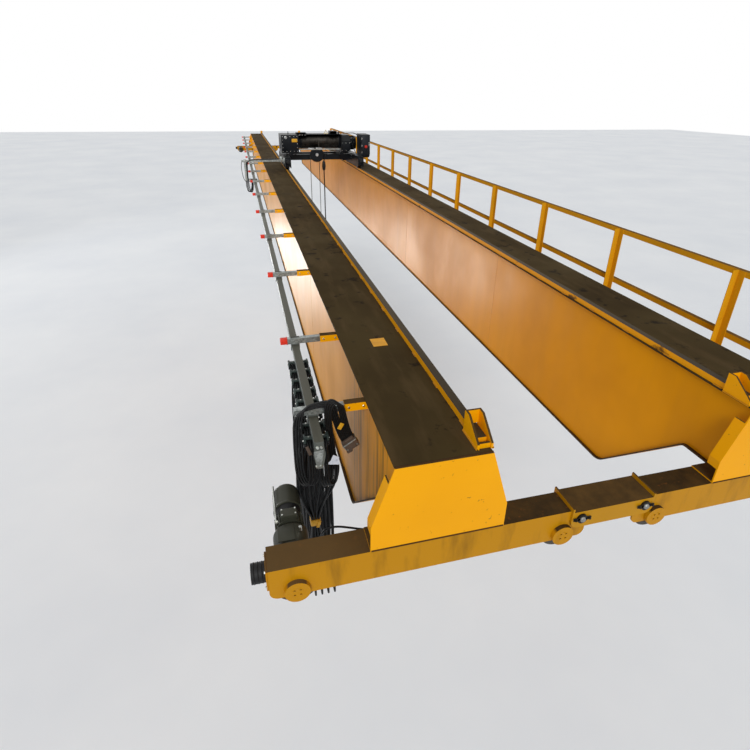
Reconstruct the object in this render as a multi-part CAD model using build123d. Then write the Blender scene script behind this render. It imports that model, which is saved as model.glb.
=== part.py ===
"""Double girder overhead travelling crane, 22.5 m span, in millimetres.

X is the way the crane travels on its runway, Y runs along the girders and Z is up.
The origin is at mid-span, midway between the girders, level with the runway rail heads.
"""
from build123d import *
import math
import os

# Bridge
SPAN = 22500
GIRDER_SPACING = 2085
FLANGE_RISE = 500
FLANGE_WIDTH = 500
GIRDER_DEPTH = 1170
TOP_FLANGE = 12
BOTTOM_FLANGE = 10
WEB = 6
WEB_INSET = 22
SEAT_LENGTH = 350
HAUNCH_START = 1020
HAUNCH_RADIUS = 150
SEAT_RADIUS = 60

# Box that closes each girder end
END_BOX_WIDTH = 727
END_BOX_SLOPE = 345
END_BOX_DEPTH = 72
END_PLATE = 8
END_STRIP_FOOT = 100
END_STRIP_GAP = 90

# End trucks, one under each girder end
WHEEL_RADIUS = 100
WHEEL_FLANGE = 10
WHEEL_TREAD = 70
WHEEL_WIDTH = 110
WHEEL_RIM = 22
WHEEL_DISH = 14
WHEEL_HUB = 45
WHEELBASE = 1470
AXLE_RADIUS = 30
AXLE_CLEARANCE = 0.08
TRUCK_RISE = 150
TRUCK_WIDTH = 155
TRUCK_SIDE = 10
TRUCK_TOP_PLATE = 8
TRUCK_OVERHANG = 148
TRUCK_OUTER_OVERHANG = 135
WHEEL_WELL = 150
TRUCK_DEPTH = 195
TRUCK_CORNER = 45
BOSS_RADIUS = 64
BOSS_DEPTH = 25
AXLE_SEAT = 14
AXLE_RECESS = 2
BUFFER_RADIUS = 50
BUFFER_LENGTH = 80
BUFFER_DROP = 80

# Beams that link the two trucks of a runway side
LINK_PLATE = 15
LINK_GAP = 0.5
LINK_DEPTH = 113
LINK_CORNER = 45
LINK_END_PLATE = 10
LINK_END_PLATE_RISE = 25
LINK_OVERLAP = 60
PIN_RADIUS = 30
PIN_SETBACK = 100.5
PIN_DROP = 45
PIN_CLEARANCE = 0.3
PIN_STANDOUT = 12

# Travel drives
GEARCASE_DEPTH = 170
GEARCASE_WIDTH = 190
GEARCASE_DROP = 60
GEARCASE_RISE = 125
GEARCASE_FOOT_RADIUS = 40
GEARCASE_HEAD_RADIUS = 85
GEARCASE_DOME = 30
MOTOR_RISE = 60
MOTOR_RADIUS = 72
MOTOR_BODY_LENGTH = 80
MOTOR_NECK_RADIUS = 58
MOTOR_NECK_LENGTH = 50
COWL_RADIUS = 78
COWL_LENGTH = 170
COWL_DOME = 38

# Trolley rails and their end stops
RAIL_GAUGE = 1650
RAIL_WIDTH = 50
RAIL_HEIGHT = 40
RAIL_END = 80
STOP_SETBACK = 36
STOP_LENGTH = 170
STOP_HEIGHT = 125
STOP_PLATE = 12
STOP_GAP = 6
STOP_NOSE = 30
STOP_CREST = 45
STOP_BAR_WIDTH = 15
STOP_BAR_SETBACK = 10
STOP_BAR_HEIGHT = 28

# Festoon line on the left girder
ARM_PITCH = 1515
END_ARM_SETBACK = 635
FIRST_ARM_SETBACK = 1550
ARM_TUBE = 40
ARM_DROP = 45
ARM_REACH = 375
ARM_CAP = 50
ARM_ROOT_GAP = 10
SLEEVE_LENGTH = 140
SLEEVE_WALL = 5
TRACK_OFFSET = 320
TRACK_WIDTH = 50
TRACK_HEIGHT = 50
TRACK_WALL = 3
TRACK_SLOT = 18
RUNNER_CLEARANCE = 3
RUNNER_LENGTH = 60
RUNNER_HEIGHT = 30
NECK_LENGTH = 40
NECK_DROP = 23
SADDLE_WIDTH = 140
SADDLE_LENGTH = 96
SADDLE_ROUND = 40
TRACK_SETBACK = 385
TRACK_END_PLATE = 6
HANGER_DEPTH = 12
HANGER_LENGTH = 30
CARRIAGE_COUNT = 8
CARRIAGE_PITCH = 126
CARRIAGE_SETBACK = 132
SADDLE_DEPTH = 70
BUNDLE_OUTWARD = 110
BUNDLE_INWARD = 180
BUNDLE_SHOULDER = 150
BUNDLE_SPLAY = 55
TIE_INWARD = 60
TIE_SETBACK = 600
TIE_WIDTH = 110
TIE_Z = -605
LOOP_BOTTOM = -1000
TAIL_RADIUS = 24
TAIL_SETBACK = 40
TAIL_GAP = 16
TAIL_CREST = 95
CONNECTOR_OFFSET = 115
CONNECTOR_Z = 485
CONNECTOR_WIDTH = 80
CONNECTOR_DEPTH = 50
CONNECTOR_HEIGHT = 90
CONNECTOR_TAPER = 18

# Walkway on the right girder
DECK_WIDTH = 900
DECK_DROP = 850
DECK_PLATE = 5
DECK_SETBACK = 780
BRACKET_DEPTH = 200
BRACKET_TIP = 50
BRACKET_PLATE = 8
FIRST_POST_SETBACK = 1447.5
POST_PITCH = 1500
END_POST_SETBACK = 90
POST_SIZE = 65
POST_WALL = 5
HANDRAIL_HEIGHT = 1105
MID_RAIL_DROP = 555
HANDRAIL_SIZE = 50
TOE_BOARD = 100

# Trolley
CRAB_CENTRE = -460
CRAB_WHEELBASE = 1200
CRAB_WHEEL_RADIUS = 80
CRAB_WHEEL_FLANGE = 12
CRAB_WHEEL_WIDTH = 80
CRAB_TREAD = 60
CRAB_AXLE_RADIUS = 20
CARRIAGE_LENGTH = 1700
CARRIAGE_WIDTH = 130
CARRIAGE_SIDE = 10
CARRIAGE_RISE = 35
CARRIAGE_DEPTH = 225
CARRIAGE_CAP = 10
CARRIAGE_CORNER = 40
CROSS_BEAM_WIDTH = 100
CROSS_BEAM_DEPTH = 125
NEAR_BEAM = -550
FAR_BEAM = -60
BEARER_WIDTH = 80
BEARER_DEPTH = 60
HOIST_RISE = 705
HOIST_FRONT = -860
HOIST_BACK = -140
HOIST_GEARCASE_WIDTH = 390
HOIST_SHOULDER = 60
GEARCASE_NOSE_RADIUS = 150
GEARCASE_NOSE = 83
DRUM_RADIUS = 155
DRUM_RISE = 537
DRUM_START = -440
DRUM_END = 460
DRUM_SHAFT = 40
DRUM_PLATE = 20
ROPE_RADIUS = 7
RUN_GAP = 0.3
SHEAVE_RADIUS = 150
SHEAVE_RISE = 257
SHEAVE_WIDTH = 36
SHEAVE_LIP = 12
SHEAVE_PIN = 25
DEAD_FALL_X = -251
DEAD_FALL_Y = -700
DRUM_FALL_X = -34
DRUM_FALL_Y = -640
COVER_PLATE = 6
COVER_MARGIN = 30
SHEAVE_PLATE_WIDTH = 140
SHEAVE_PLATE_HEIGHT = 170
SHEAVE_PLATE_THICKNESS = 12
TOP_BOX_FRONT = -800
TOP_BOX_DEPTH = 240
FLAT_BOX = (-555, -330)
FLAT_BOX_HEIGHT = 34
TALL_BOX = (215, 365)
TALL_BOX_HEIGHT = 72
GUIDE_OFFSET = 100
GUIDE_SIZE = 25
HOUSING_LENGTH = 220
HOUSING_FRONT = -760
HOUSING_BACK = -200
HOUSING_SLOPE = 130
HOUSING_DROP = 25
HOIST_MOTOR_RADIUS = 140
HOIST_MOTOR_LENGTH = 170
HOIST_MOTOR_DROP = 40
CRAB_DRIVE_WIDTH = 90
CRAB_DRIVE_LENGTH = 150
CRAB_DRIVE_DROP = 50
CRAB_DRIVE_RISE = 110
CRAB_DRIVE_CORNER = 40
CRAB_MOTOR_RADIUS = 62
CRAB_MOTOR_LENGTH = 230
CRAB_MOTOR_RISE = 45
CABINET_WIDTH = 195
CABINET_DEPTH = 520
CABINET_HEIGHT = 445
CABINET_FRONT = -1100
CABINET_BAR = 40
CABINET_BAR_SETBACK = 60
TOW_TUBE = 40
TOW_RISE = 199
TOW_OUTWARD = 167
TOW_Y = -1210
TOW_STUB = 50
TOW_BAR_DROP = 25
TOW_CARRIAGE_WIDTH = 120
TOW_CARRIAGE_LENGTH = 160

# Hook block at rest
BLOCK_HEIGHT = -1175
BLOCK_GAP = 80
BLOCK_PLATE = 14
BLOCK_EDGE = 20
BLOCK_DEPTH = 300
BLOCK_FOOT_WIDTH = 180
BLOCK_FOOT_RADIUS = 20
BLOCK_PIN = 24
CROSS_HEAD = 60
CROSS_HEAD_WIDTH = 160
SHANK_RADIUS = 22
SHANK_LENGTH = 40
NUT_RADIUS = 36
NUT_DEPTH = 28
HOOK_RADIUS = 24
HOOK_THROAT = 78
HOOK_BEND = 60
HOOK_SWEEP = 215

HALF = SPAN / 2 + TRUCK_WIDTH / 2
TRUCK_TOP = WHEEL_RADIUS + TRUCK_RISE
FLANGE_TOP = TRUCK_TOP + FLANGE_RISE
ARM_HEIGHT = FLANGE_TOP - ARM_DROP
DECK_TOP = FLANGE_TOP - DECK_DROP
RAIL_TOP = FLANGE_TOP + RAIL_HEIGHT
GIRDER_BOTTOM = FLANGE_TOP - GIRDER_DEPTH
WEB_OUTSIDE = FLANGE_WIDTH - 2 * WEB_INSET
RAIL_X = RAIL_GAUGE / 2
RIGHT_WEB_FACE = GIRDER_SPACING / 2 + WEB_OUTSIDE / 2
LEFT_WEB_FACE = -RIGHT_WEB_FACE
CARRIAGE_BOTTOM = RAIL_TOP + CARRIAGE_RISE
CARRIAGE_TOP = CARRIAGE_BOTTOM + CARRIAGE_DEPTH
BEARER_TOP = CARRIAGE_TOP + BEARER_DEPTH
HOIST_TOP = RAIL_TOP + HOIST_RISE
DRUM_HEIGHT = RAIL_TOP + DRUM_RISE
SHEAVE_HEIGHT = RAIL_TOP + SHEAVE_RISE
TOW_HEIGHT = RAIL_TOP + TOW_RISE
PIN_OFFSET = (GIRDER_SPACING - WHEELBASE) / 2 - PIN_SETBACK
LINK_END = PIN_OFFSET + LINK_OVERLAP
ARM_END = LEFT_WEB_FACE - ARM_REACH
SLEEVE_END = LEFT_WEB_FACE - SLEEVE_LENGTH
TRACK_X = LEFT_WEB_FACE - TRACK_OFFSET
BUNDLE_LEFT = TRACK_X - BUNDLE_OUTWARD
BUNDLE_RIGHT = TRACK_X + BUNDLE_INWARD
TIE_X = TRACK_X + TIE_INWARD
CONNECTOR_X = LEFT_WEB_FACE - CONNECTOR_OFFSET
TOW_X = TRACK_X - TOW_OUTWARD
TRACK_HALF = HALF - TRACK_SETBACK
FIRST_CARRIAGE = CARRIAGE_SETBACK - TRACK_HALF
TIE_Y = FIRST_CARRIAGE + TIE_SETBACK
TRACK_TOP = ARM_HEIGHT - ARM_TUBE / 2 - HANGER_DEPTH
TRACK_BOTTOM = TRACK_TOP - TRACK_HEIGHT
SADDLE_BOTTOM = TRACK_BOTTOM - SADDLE_DEPTH


def about(centre, width):
    """Low and high end of a width about its centre."""
    return centre - width / 2, centre + width / 2


def block(x, y, z):
    """Box from its low and high ends along X, Y and Z."""
    middle = [(ends[0] + ends[1]) / 2 for ends in (x, y, z)]
    return Pos(*middle) * Box(x[1] - x[0], y[1] - y[0], z[1] - z[0])


def round_bar(axis, centre, radius, length):
    """Cylinder along X, Y or Z, centred on a point."""
    turn = {"X": Rot(0, 90, 0), "Y": Rot(90, 0, 0), "Z": Rot(0, 0, 0)}[axis]
    return Pos(*centre) * turn * Cylinder(radius, length)


def outline(points, radii=0):
    """Flat closed outline, with one fillet radius for all its corners or one for each."""
    return make_face(FilletPolyline(*points, radius=radii, close=True))


def along_x(shape, low, high):
    """A YZ outline as a solid between two X places."""
    return extrude(Plane.YZ.offset(low) * shape, amount=high - low, dir=(1, 0, 0))


def along_y(shape, low, high):
    """An XZ outline as a solid between two Y places."""
    return extrude(Plane.XZ.offset(-low) * shape, amount=high - low, dir=(0, 1, 0))


def ring_path(path, thickness):
    """A path of (y, z) points moved down by a plate's thickness, square to the plate."""
    slope = math.atan2(path[1][1] - path[2][1], path[2][0] - path[1][0])
    shift = thickness * math.tan(slope / 2)
    sides = [math.copysign(1, point[0]) if 0 < i < len(path) - 1 else 0 for i, point in enumerate(path)]
    return [(y + side * shift, z - thickness) for (y, z), side in zip(path, sides)]


def belly_path(half_length):
    """Upper face of the bottom flange, from the near seat to the far seat."""
    seat = TRUCK_TOP + BOTTOM_FLANGE
    low = GIRDER_BOTTOM + BOTTOM_FLANGE
    near = [(-half_length, seat), (SEAT_LENGTH - HALF, seat), (HAUNCH_START - HALF, low)]
    return near + [(-y, z) for y, z in reversed(near)]


def girder_centres():
    return -GIRDER_SPACING / 2, GIRDER_SPACING / 2


def top_plates():
    half = HALF - END_PLATE
    height = (FLANGE_TOP - TOP_FLANGE, FLANGE_TOP)
    return [block(about(x, FLANGE_WIDTH), (-half, half), height) for x in girder_centres()]


def webs():
    half = HALF - END_PLATE
    top = FLANGE_TOP - TOP_FLANGE
    path = belly_path(half)
    bend = SEAT_RADIUS + BOTTOM_FLANGE
    radii = [0, bend, HAUNCH_RADIUS, HAUNCH_RADIUS, bend, 0, 0, 0]
    shape = outline(path + [(half, top), (-half, top)], radii)
    plates = []
    for centre in girder_centres():
        for side in (-1, 1):
            face = centre + side * WEB_OUTSIDE / 2
            inner = face - side * WEB
            plates.append(along_x(shape, min(face, inner), max(face, inner)))
    return plates


def bottom_plates():
    inner = belly_path(HALF - END_PLATE)
    outer = ring_path(inner, BOTTOM_FLANGE)
    bend = SEAT_RADIUS + BOTTOM_FLANGE
    haunch = HAUNCH_RADIUS + BOTTOM_FLANGE
    radii = [0, bend, HAUNCH_RADIUS, HAUNCH_RADIUS, bend, 0]
    radii += [0, SEAT_RADIUS, haunch, haunch, SEAT_RADIUS, 0]
    shape = outline(inner + outer[::-1], radii)
    return [along_x(shape, *about(x, FLANGE_WIDTH)) for x in girder_centres()]


def end_box(centre, end):
    """Front plate with two side strips behind it, and the seat plate's wings beside the bottom flange."""
    top = FLANGE_WIDTH / 2
    wide = END_BOX_WIDTH / 2
    shoulder = FLANGE_TOP - END_BOX_SLOPE
    right = [(wide, TRUCK_TOP), (wide, shoulder), (top, FLANGE_TOP)]
    shape = outline(right + [(-x, z) for x, z in reversed(right)])
    front = along_y(shape, 0, END_PLATE)
    ring = along_y(shape - offset(shape, -END_PLATE), END_PLATE, END_BOX_DEPTH)
    strip_height = (TRUCK_TOP + END_STRIP_FOOT, FLANGE_TOP - END_STRIP_GAP)
    strips = ring & block(about(0, END_BOX_WIDTH), (END_PLATE, END_BOX_DEPTH), strip_height)
    seat = block(about(0, END_BOX_WIDTH), (END_PLATE, TRUCK_WIDTH), (TRUCK_TOP, TRUCK_TOP + END_PLATE))
    seat -= block(about(0, FLANGE_WIDTH), (END_PLATE, TRUCK_WIDTH), (TRUCK_TOP, TRUCK_TOP + END_PLATE))
    whole = Pos(centre, -HALF, 0) * (front + strips + seat)
    return whole if end < 0 else mirror(whole, Plane.XZ)


def end_boxes():
    return [end_box(x, end) for x in girder_centres() for end in (-1, 1)]


def trolley_rails():
    half = HALF - RAIL_END
    return [block(about(side * RAIL_X, RAIL_WIDTH), (-half, half), (FLANGE_TOP, RAIL_TOP))
            for side in (-1, 1)]


def rail_stop(side, end):
    """Two cheeks astride the rail, a face plate towards the trolley and a bar at the foot."""
    rear = STOP_SETBACK + STOP_LENGTH
    top = FLANGE_TOP + STOP_HEIGHT
    cheek = outline([
        (STOP_SETBACK, FLANGE_TOP), (rear, FLANGE_TOP), (rear, top),
        (rear - STOP_CREST, top), (STOP_SETBACK, FLANGE_TOP + STOP_NOSE)])
    inner = RAIL_WIDTH / 2 + STOP_GAP
    solid = along_x(cheek, inner, inner + STOP_PLATE) + along_x(cheek, -inner - STOP_PLATE, -inner)
    solid += block((-inner, inner), (rear - STOP_PLATE, rear), (RAIL_TOP + STOP_GAP, top))
    bar = STOP_SETBACK + STOP_BAR_SETBACK
    solid += block((-inner, inner), (bar, bar + STOP_BAR_WIDTH), (FLANGE_TOP, FLANGE_TOP + STOP_BAR_HEIGHT))
    whole = Pos(side * RAIL_X, -HALF, 0) * solid
    return whole if end < 0 else mirror(whole, Plane.XZ)


def rail_stops():
    return [rail_stop(side, end) for side in (-1, 1) for end in (-1, 1)]


def wheel_places(outward):
    """X of a truck's outer and inner wheel, measured outwards from its girder."""
    return outward * WHEELBASE / 2, -outward * WHEELBASE / 2


def truck_ends(outward):
    """X of a truck's outer and inner end, measured from its girder."""
    outer = outward * (WHEELBASE / 2 + TRUCK_OUTER_OVERHANG)
    inner = -outward * (WHEELBASE / 2 + TRUCK_OVERHANG)
    return outer, inner


def truck_side(outward):
    """Side plate outline, lobed round the wheel bosses, with X measured from the girder."""
    top = TRUCK_TOP - TRUCK_TOP_PLATE
    low = TRUCK_TOP - TRUCK_DEPTH
    left, right = sorted(truck_ends(outward))
    shape = outline([(left, low), (right, low), (right, top), (left, top)],
                    [TRUCK_CORNER, TRUCK_CORNER, 0, 0])
    for x in wheel_places(outward):
        shape += Pos(x, WHEEL_RADIUS) * Circle(BOSS_RADIUS)
    pin_x = -outward * (GIRDER_SPACING / 2 - PIN_OFFSET)
    return shape - Pos(pin_x, TRUCK_TOP - PIN_DROP) * Circle(PIN_RADIUS + PIN_CLEARANCE)


def truck_bosses(outward):
    """Bearing bosses on both faces, but for the one behind the travel drive, and the axle bores."""
    half = TRUCK_WIDTH / 2
    bosses = []
    bores = []
    for x in wheel_places(outward):
        bore = round_bar("Y", (x, 0, WHEEL_RADIUS), AXLE_RADIUS + AXLE_CLEARANCE, TRUCK_WIDTH + 2 * AXLE_SEAT)
        bores.append(bore)
        faces = (-1,) if x * outward > 0 else (-1, 1)
        for face in faces:
            place = (x, face * (half + BOSS_DEPTH / 2), WHEEL_RADIUS)
            bosses.append(round_bar("Y", place, BOSS_RADIUS, BOSS_DEPTH))
    return bosses, bores


def end_truck(centre, end):
    """Two-wheel truck: side plates, top plate, end plate and a closed box between the wheels."""
    outward = math.copysign(1, centre)
    low = TRUCK_TOP - TRUCK_DEPTH
    under = TRUCK_TOP - TRUCK_TOP_PLATE
    half = TRUCK_WIDTH / 2
    inner = half - TRUCK_SIDE
    side = truck_side(outward)
    solid = along_y(side, inner, half) + along_y(side, -half, -inner)
    tip = truck_ends(outward)[0]
    link_side = -outward * (GIRDER_SPACING / 2 - LINK_END - 1)
    solid += block(sorted((tip, link_side)), (-half, half), (under, TRUCK_TOP))
    solid += block(sorted((tip, tip - outward * LINK_PLATE)), (-inner, inner), (low + TRUCK_CORNER, under))
    box_half = WHEELBASE / 2 - WHEEL_WELL
    for x in (-box_half, box_half):
        solid += block(about(x, TRUCK_SIDE), (-inner, inner), (low, under))
    solid += block((-box_half, box_half), (-inner, inner), (low, low + TRUCK_SIDE))
    bosses, bores = truck_bosses(outward)
    solid += bosses
    solid -= bores
    whole = Pos(centre, -SPAN / 2, 0) * solid
    return whole if end < 0 else mirror(whole, Plane.XZ)


def crane_wheel():
    """Double flanged wheel with its axle, at the origin, along Y."""
    solid = round_bar("Y", (0, 0, 0), WHEEL_RADIUS, WHEEL_TREAD)
    flange = (WHEEL_WIDTH - WHEEL_TREAD) / 2
    for face in (-1, 1):
        place = (0, face * (WHEEL_TREAD + flange) / 2, 0)
        solid += round_bar("Y", place, WHEEL_RADIUS + WHEEL_FLANGE, flange)
        solid -= round_bar("Y", (0, face * WHEEL_WIDTH / 2, 0), WHEEL_RADIUS - WHEEL_RIM, 2 * WHEEL_DISH)
    solid += round_bar("Y", (0, 0, 0), WHEEL_HUB, WHEEL_WIDTH)
    return solid + round_bar("Y", (0, 0, 0), AXLE_RADIUS, TRUCK_WIDTH + 2 * (AXLE_SEAT - AXLE_RECESS))


def link_beam(end):
    """Beam pinned between the two trucks of one runway side."""
    inner = TRUCK_WIDTH / 2 + LINK_GAP
    half = inner + LINK_PLATE
    low = TRUCK_TOP - LINK_DEPTH
    under = TRUCK_TOP - TRUCK_TOP_PLATE + LINK_GAP
    cheek = outline([(-LINK_END, low), (LINK_END, low), (LINK_END, TRUCK_TOP), (-LINK_END, TRUCK_TOP)],
                    [LINK_CORNER, LINK_CORNER, 0, 0])
    for side in (-1, 1):
        cheek -= Pos(side * PIN_OFFSET, TRUCK_TOP - PIN_DROP) * Circle(PIN_RADIUS + PIN_CLEARANCE)
    solid = along_y(cheek, inner, half) + along_y(cheek, -half, -inner)
    solid += block((-LINK_END, LINK_END), (-inner, inner), (under, TRUCK_TOP))
    for side in (-1, 1):
        tip = side * LINK_END
        back = tip - side * LINK_END_PLATE
        ends = (min(tip, back), max(tip, back))
        solid += block(ends, (-half, half), (TRUCK_TOP, TRUCK_TOP + LINK_END_PLATE_RISE))
    ear = GIRDER_SPACING / 2 + truck_ends(1)[1] - LINK_END_PLATE
    solid += block((-ear, ear), (-inner, inner), (low, low + TRUCK_TOP_PLATE))
    return Pos(0, end * SPAN / 2, 0) * solid


def link_pins():
    length = TRUCK_WIDTH + 2 * (LINK_GAP + LINK_PLATE + PIN_STANDOUT)
    height = TRUCK_TOP - PIN_DROP
    return [round_bar("Y", (side * PIN_OFFSET, end * SPAN / 2, height), PIN_RADIUS, length)
            for side in (-1, 1) for end in (-1, 1)]


def buffers():
    reach = GIRDER_SPACING / 2 + truck_ends(1)[0] + BUFFER_LENGTH / 2
    height = TRUCK_TOP - BUFFER_DROP
    return [round_bar("X", (side * reach, end * SPAN / 2, height), BUFFER_RADIUS, BUFFER_LENGTH)
            for side in (-1, 1) for end in (-1, 1)]


def drive_places():
    """X of each driven wheel, with the end it is at."""
    reach = (GIRDER_SPACING + WHEELBASE) / 2
    return [(side * reach, end) for side in (-1, 1) for end in (-1, 1)]


def travel_gearcase(x, end):
    """Helical gearcase on the inner side of a truck, bored for the driven axle."""
    face = -SPAN / 2 + TRUCK_WIDTH / 2
    half = GEARCASE_WIDTH / 2
    low = WHEEL_RADIUS - GEARCASE_DROP
    high = WHEEL_RADIUS + GEARCASE_RISE
    radii = [GEARCASE_FOOT_RADIUS] * 2 + [GEARCASE_HEAD_RADIUS] * 2
    body = outline([(-half, low), (half, low), (half, high), (-half, high)], radii)
    solid = along_y(body, face, face + GEARCASE_DEPTH)
    solid = Pos(x, 0, 0) * fillet(solid.faces().sort_by(Axis.Y)[-1].edges(), GEARCASE_DOME)
    bore = round_bar("Y", (x, face, WHEEL_RADIUS), AXLE_RADIUS + PIN_CLEARANCE, 2 * AXLE_SEAT + 2)
    return solid - bore if end < 0 else mirror(solid - bore, Plane.XZ)


def travel_motor(x, end):
    """Brake motor: body, neck and domed cowl, its axis pointing to mid-span."""
    start = -SPAN / 2 + TRUCK_WIDTH / 2 + GEARCASE_DEPTH
    height = WHEEL_RADIUS + MOTOR_RISE
    lengths = (MOTOR_BODY_LENGTH, MOTOR_NECK_LENGTH, COWL_LENGTH)
    radii = (MOTOR_RADIUS, MOTOR_NECK_RADIUS, COWL_RADIUS)
    solid = None
    for length, radius in zip(lengths, radii):
        part = round_bar("Y", (x, start + length / 2, height), radius, length)
        solid = part if solid is None else solid + part
        start += length
    rim = solid.edges().filter_by(GeomType.CIRCLE).sort_by(Axis.Y)[-1]
    solid = fillet(rim, COWL_DOME)
    return solid if end < 0 else mirror(solid, Plane.XZ)


def evenly(first, pitch, limit):
    """Places from the first one on, a pitch apart, as far as the limit."""
    return [first + k * pitch for k in range(1 + int((limit - first) // pitch))]


def end_arm():
    return END_ARM_SETBACK - HALF


def arm_places():
    """The end arm, then the evenly spaced ones."""
    return [end_arm()] + evenly(FIRST_ARM_SETBACK - HALF, ARM_PITCH, TRACK_HALF)


def festoon_brackets():
    """Square sleeves welded to the left girder's outer web."""
    width = ARM_TUBE + 2 * SLEEVE_WALL
    solids = []
    for y in arm_places():
        sleeve = block((SLEEVE_END, LEFT_WEB_FACE), about(y, width), about(ARM_HEIGHT, width))
        hole = block((SLEEVE_END, LEFT_WEB_FACE), about(y, ARM_TUBE), about(ARM_HEIGHT, ARM_TUBE))
        solids.append(sleeve - hole)
    return solids


def festoon_arms():
    """Square tubes held in the sleeves; the end arm has no cap and is as much longer."""
    root = LEFT_WEB_FACE - ARM_ROOT_GAP
    tips = {end_arm(): ARM_END - ARM_CAP}
    return [block((tips.get(y, ARM_END), root), about(y, ARM_TUBE), about(ARM_HEIGHT, ARM_TUBE))
            for y in arm_places()]


def festoon_arm_caps():
    return [block((ARM_END - ARM_CAP, ARM_END), about(y, ARM_TUBE + 2), about(ARM_HEIGHT, ARM_TUBE + 2))
            for y in arm_places()[1:]]


def festoon_track():
    """C section, open downwards."""
    length = (-TRACK_HALF, TRACK_HALF)
    solid = block(about(TRACK_X, TRACK_WIDTH), length, (TRACK_BOTTOM, TRACK_TOP))
    hollow = (TRACK_BOTTOM + TRACK_WALL, TRACK_TOP - TRACK_WALL)
    solid -= block(about(TRACK_X, TRACK_WIDTH - 2 * TRACK_WALL), length, hollow)
    return solid - block(about(TRACK_X, TRACK_SLOT), length, (TRACK_BOTTOM, TRACK_BOTTOM + TRACK_WALL))


def track_end_plate(end):
    """Stop plate on a track end, widest below the track and drawn in again to its lower bolts."""
    shape = outline([
        (-20, TRACK_TOP), (20, TRACK_TOP), (32, TRACK_BOTTOM - 35), (15, SADDLE_BOTTOM - 55),
        (-15, SADDLE_BOTTOM - 55), (-32, TRACK_BOTTOM - 35)])
    faces = (TRACK_HALF, TRACK_HALF + TRACK_END_PLATE)
    return Pos(TRACK_X, 0, 0) * along_y(shape, *sorted(end * face for face in faces))


def track_hangers():
    height = (TRACK_TOP, TRACK_TOP + HANGER_DEPTH)
    return [block(about(TRACK_X, TRACK_WIDTH), about(y, HANGER_LENGTH), height) for y in arm_places()]


def carriage_places():
    return [FIRST_CARRIAGE + k * CARRIAGE_PITCH for k in range(CARRIAGE_COUNT)]


def track_runner(y):
    """Runner that stands on the track's lips, with its neck hanging through the slot."""
    lip = TRACK_BOTTOM + TRACK_WALL
    inside = TRACK_WIDTH - 2 * (TRACK_WALL + RUNNER_CLEARANCE)
    slot = TRACK_SLOT - 2 * RUNNER_CLEARANCE
    runner = block(about(TRACK_X, inside), about(y, RUNNER_LENGTH), (lip, lip + RUNNER_HEIGHT))
    neck = block(about(TRACK_X, slot), about(y, NECK_LENGTH), (lip - NECK_DROP, lip))
    return runner + neck


def cable_carriage(y):
    """Cable carriage: a runner in the track and a wide rounded saddle that the cables hang over."""
    top = TRACK_BOTTOM + TRACK_WALL - NECK_DROP
    near, far = about(y, SADDLE_LENGTH)
    saddle = outline([(near, SADDLE_BOTTOM), (far, SADDLE_BOTTOM), (far, top), (near, top)],
                     [0, 0, SADDLE_ROUND, SADDLE_ROUND])
    return track_runner(y) + along_x(saddle, *about(TRACK_X, SADDLE_WIDTH))


def cable_carriages():
    return [cable_carriage(y) for y in carriage_places()]


def parked_loops():
    """Outer shape of the parked loops, drawn together at the tie and spread again below it."""
    half = TIE_WIDTH / 2
    splay = LOOP_BOTTOM + BUNDLE_SPLAY
    wide = half + BUNDLE_SPLAY
    near = FIRST_CARRIAGE - SADDLE_ROUND
    far = FIRST_CARRIAGE + (CARRIAGE_COUNT - 1) * CARRIAGE_PITCH + SADDLE_ROUND
    side = outline([
        (near, SADDLE_BOTTOM), (far, SADDLE_BOTTOM), (TIE_Y + half, TIE_Z), (TIE_Y + wide, splay),
        (TIE_Y + half, LOOP_BOTTOM), (TIE_Y - half, LOOP_BOTTOM),
        (TIE_Y - wide, splay), (TIE_Y - half, TIE_Z)])
    left, right = about(TRACK_X, SADDLE_WIDTH)
    shoulder = SADDLE_BOTTOM - BUNDLE_SHOULDER
    front = outline([
        (left, SADDLE_BOTTOM), (right, SADDLE_BOTTOM), (BUNDLE_RIGHT, shoulder), (BUNDLE_RIGHT, 0),
        (TIE_X + half, TIE_Z), (TIE_X + wide, splay), (TIE_X + half, LOOP_BOTTOM),
        (TIE_X - half, LOOP_BOTTOM), (TIE_X - wide, splay), (TIE_X - half, TIE_Z),
        (BUNDLE_LEFT, 0), (BUNDLE_LEFT, shoulder)])
    return along_x(side, BUNDLE_LEFT, BUNDLE_RIGHT) & along_y(front, near, far)


def cable_tail():
    """Cables that rise beside the first carriages, loop over and drop to their connector."""
    y = end_arm() - ARM_TUBE / 2 - TAIL_SETBACK
    rise = TRACK_X + SADDLE_WIDTH / 2 + TAIL_RADIUS + TAIL_GAP
    crest = ((rise + CONNECTOR_X) / 2, y, ARM_HEIGHT + TAIL_CREST)
    path = Spline((rise, y, SADDLE_BOTTOM - BUNDLE_SHOULDER), (rise, y, ARM_HEIGHT), crest,
                  (CONNECTOR_X, y, ARM_HEIGHT), (CONNECTOR_X, y, CONNECTOR_Z + CONNECTOR_HEIGHT / 2),
                  tangents=[(0, 0, 1), (0, 0, -1)])
    return sweep(Plane(origin=path @ 0, z_dir=path % 0) * Circle(TAIL_RADIUS), path=path)


def cable_connector():
    """Hood of the connector that ends the parked cables, wider at its mouth."""
    y = end_arm() - ARM_TUBE / 2 - TAIL_SETBACK
    low = CONNECTOR_Z - CONNECTOR_HEIGHT / 2
    mouth = Plane.XY.offset(low) * Rectangle(CONNECTOR_WIDTH, CONNECTOR_DEPTH)
    neck = Plane.XY.offset(low + CONNECTOR_HEIGHT) * Rectangle(
        CONNECTOR_WIDTH - CONNECTOR_TAPER, CONNECTOR_DEPTH - CONNECTOR_TAPER)
    return Pos(CONNECTOR_X, y, 0) * loft([mouth, neck])


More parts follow.
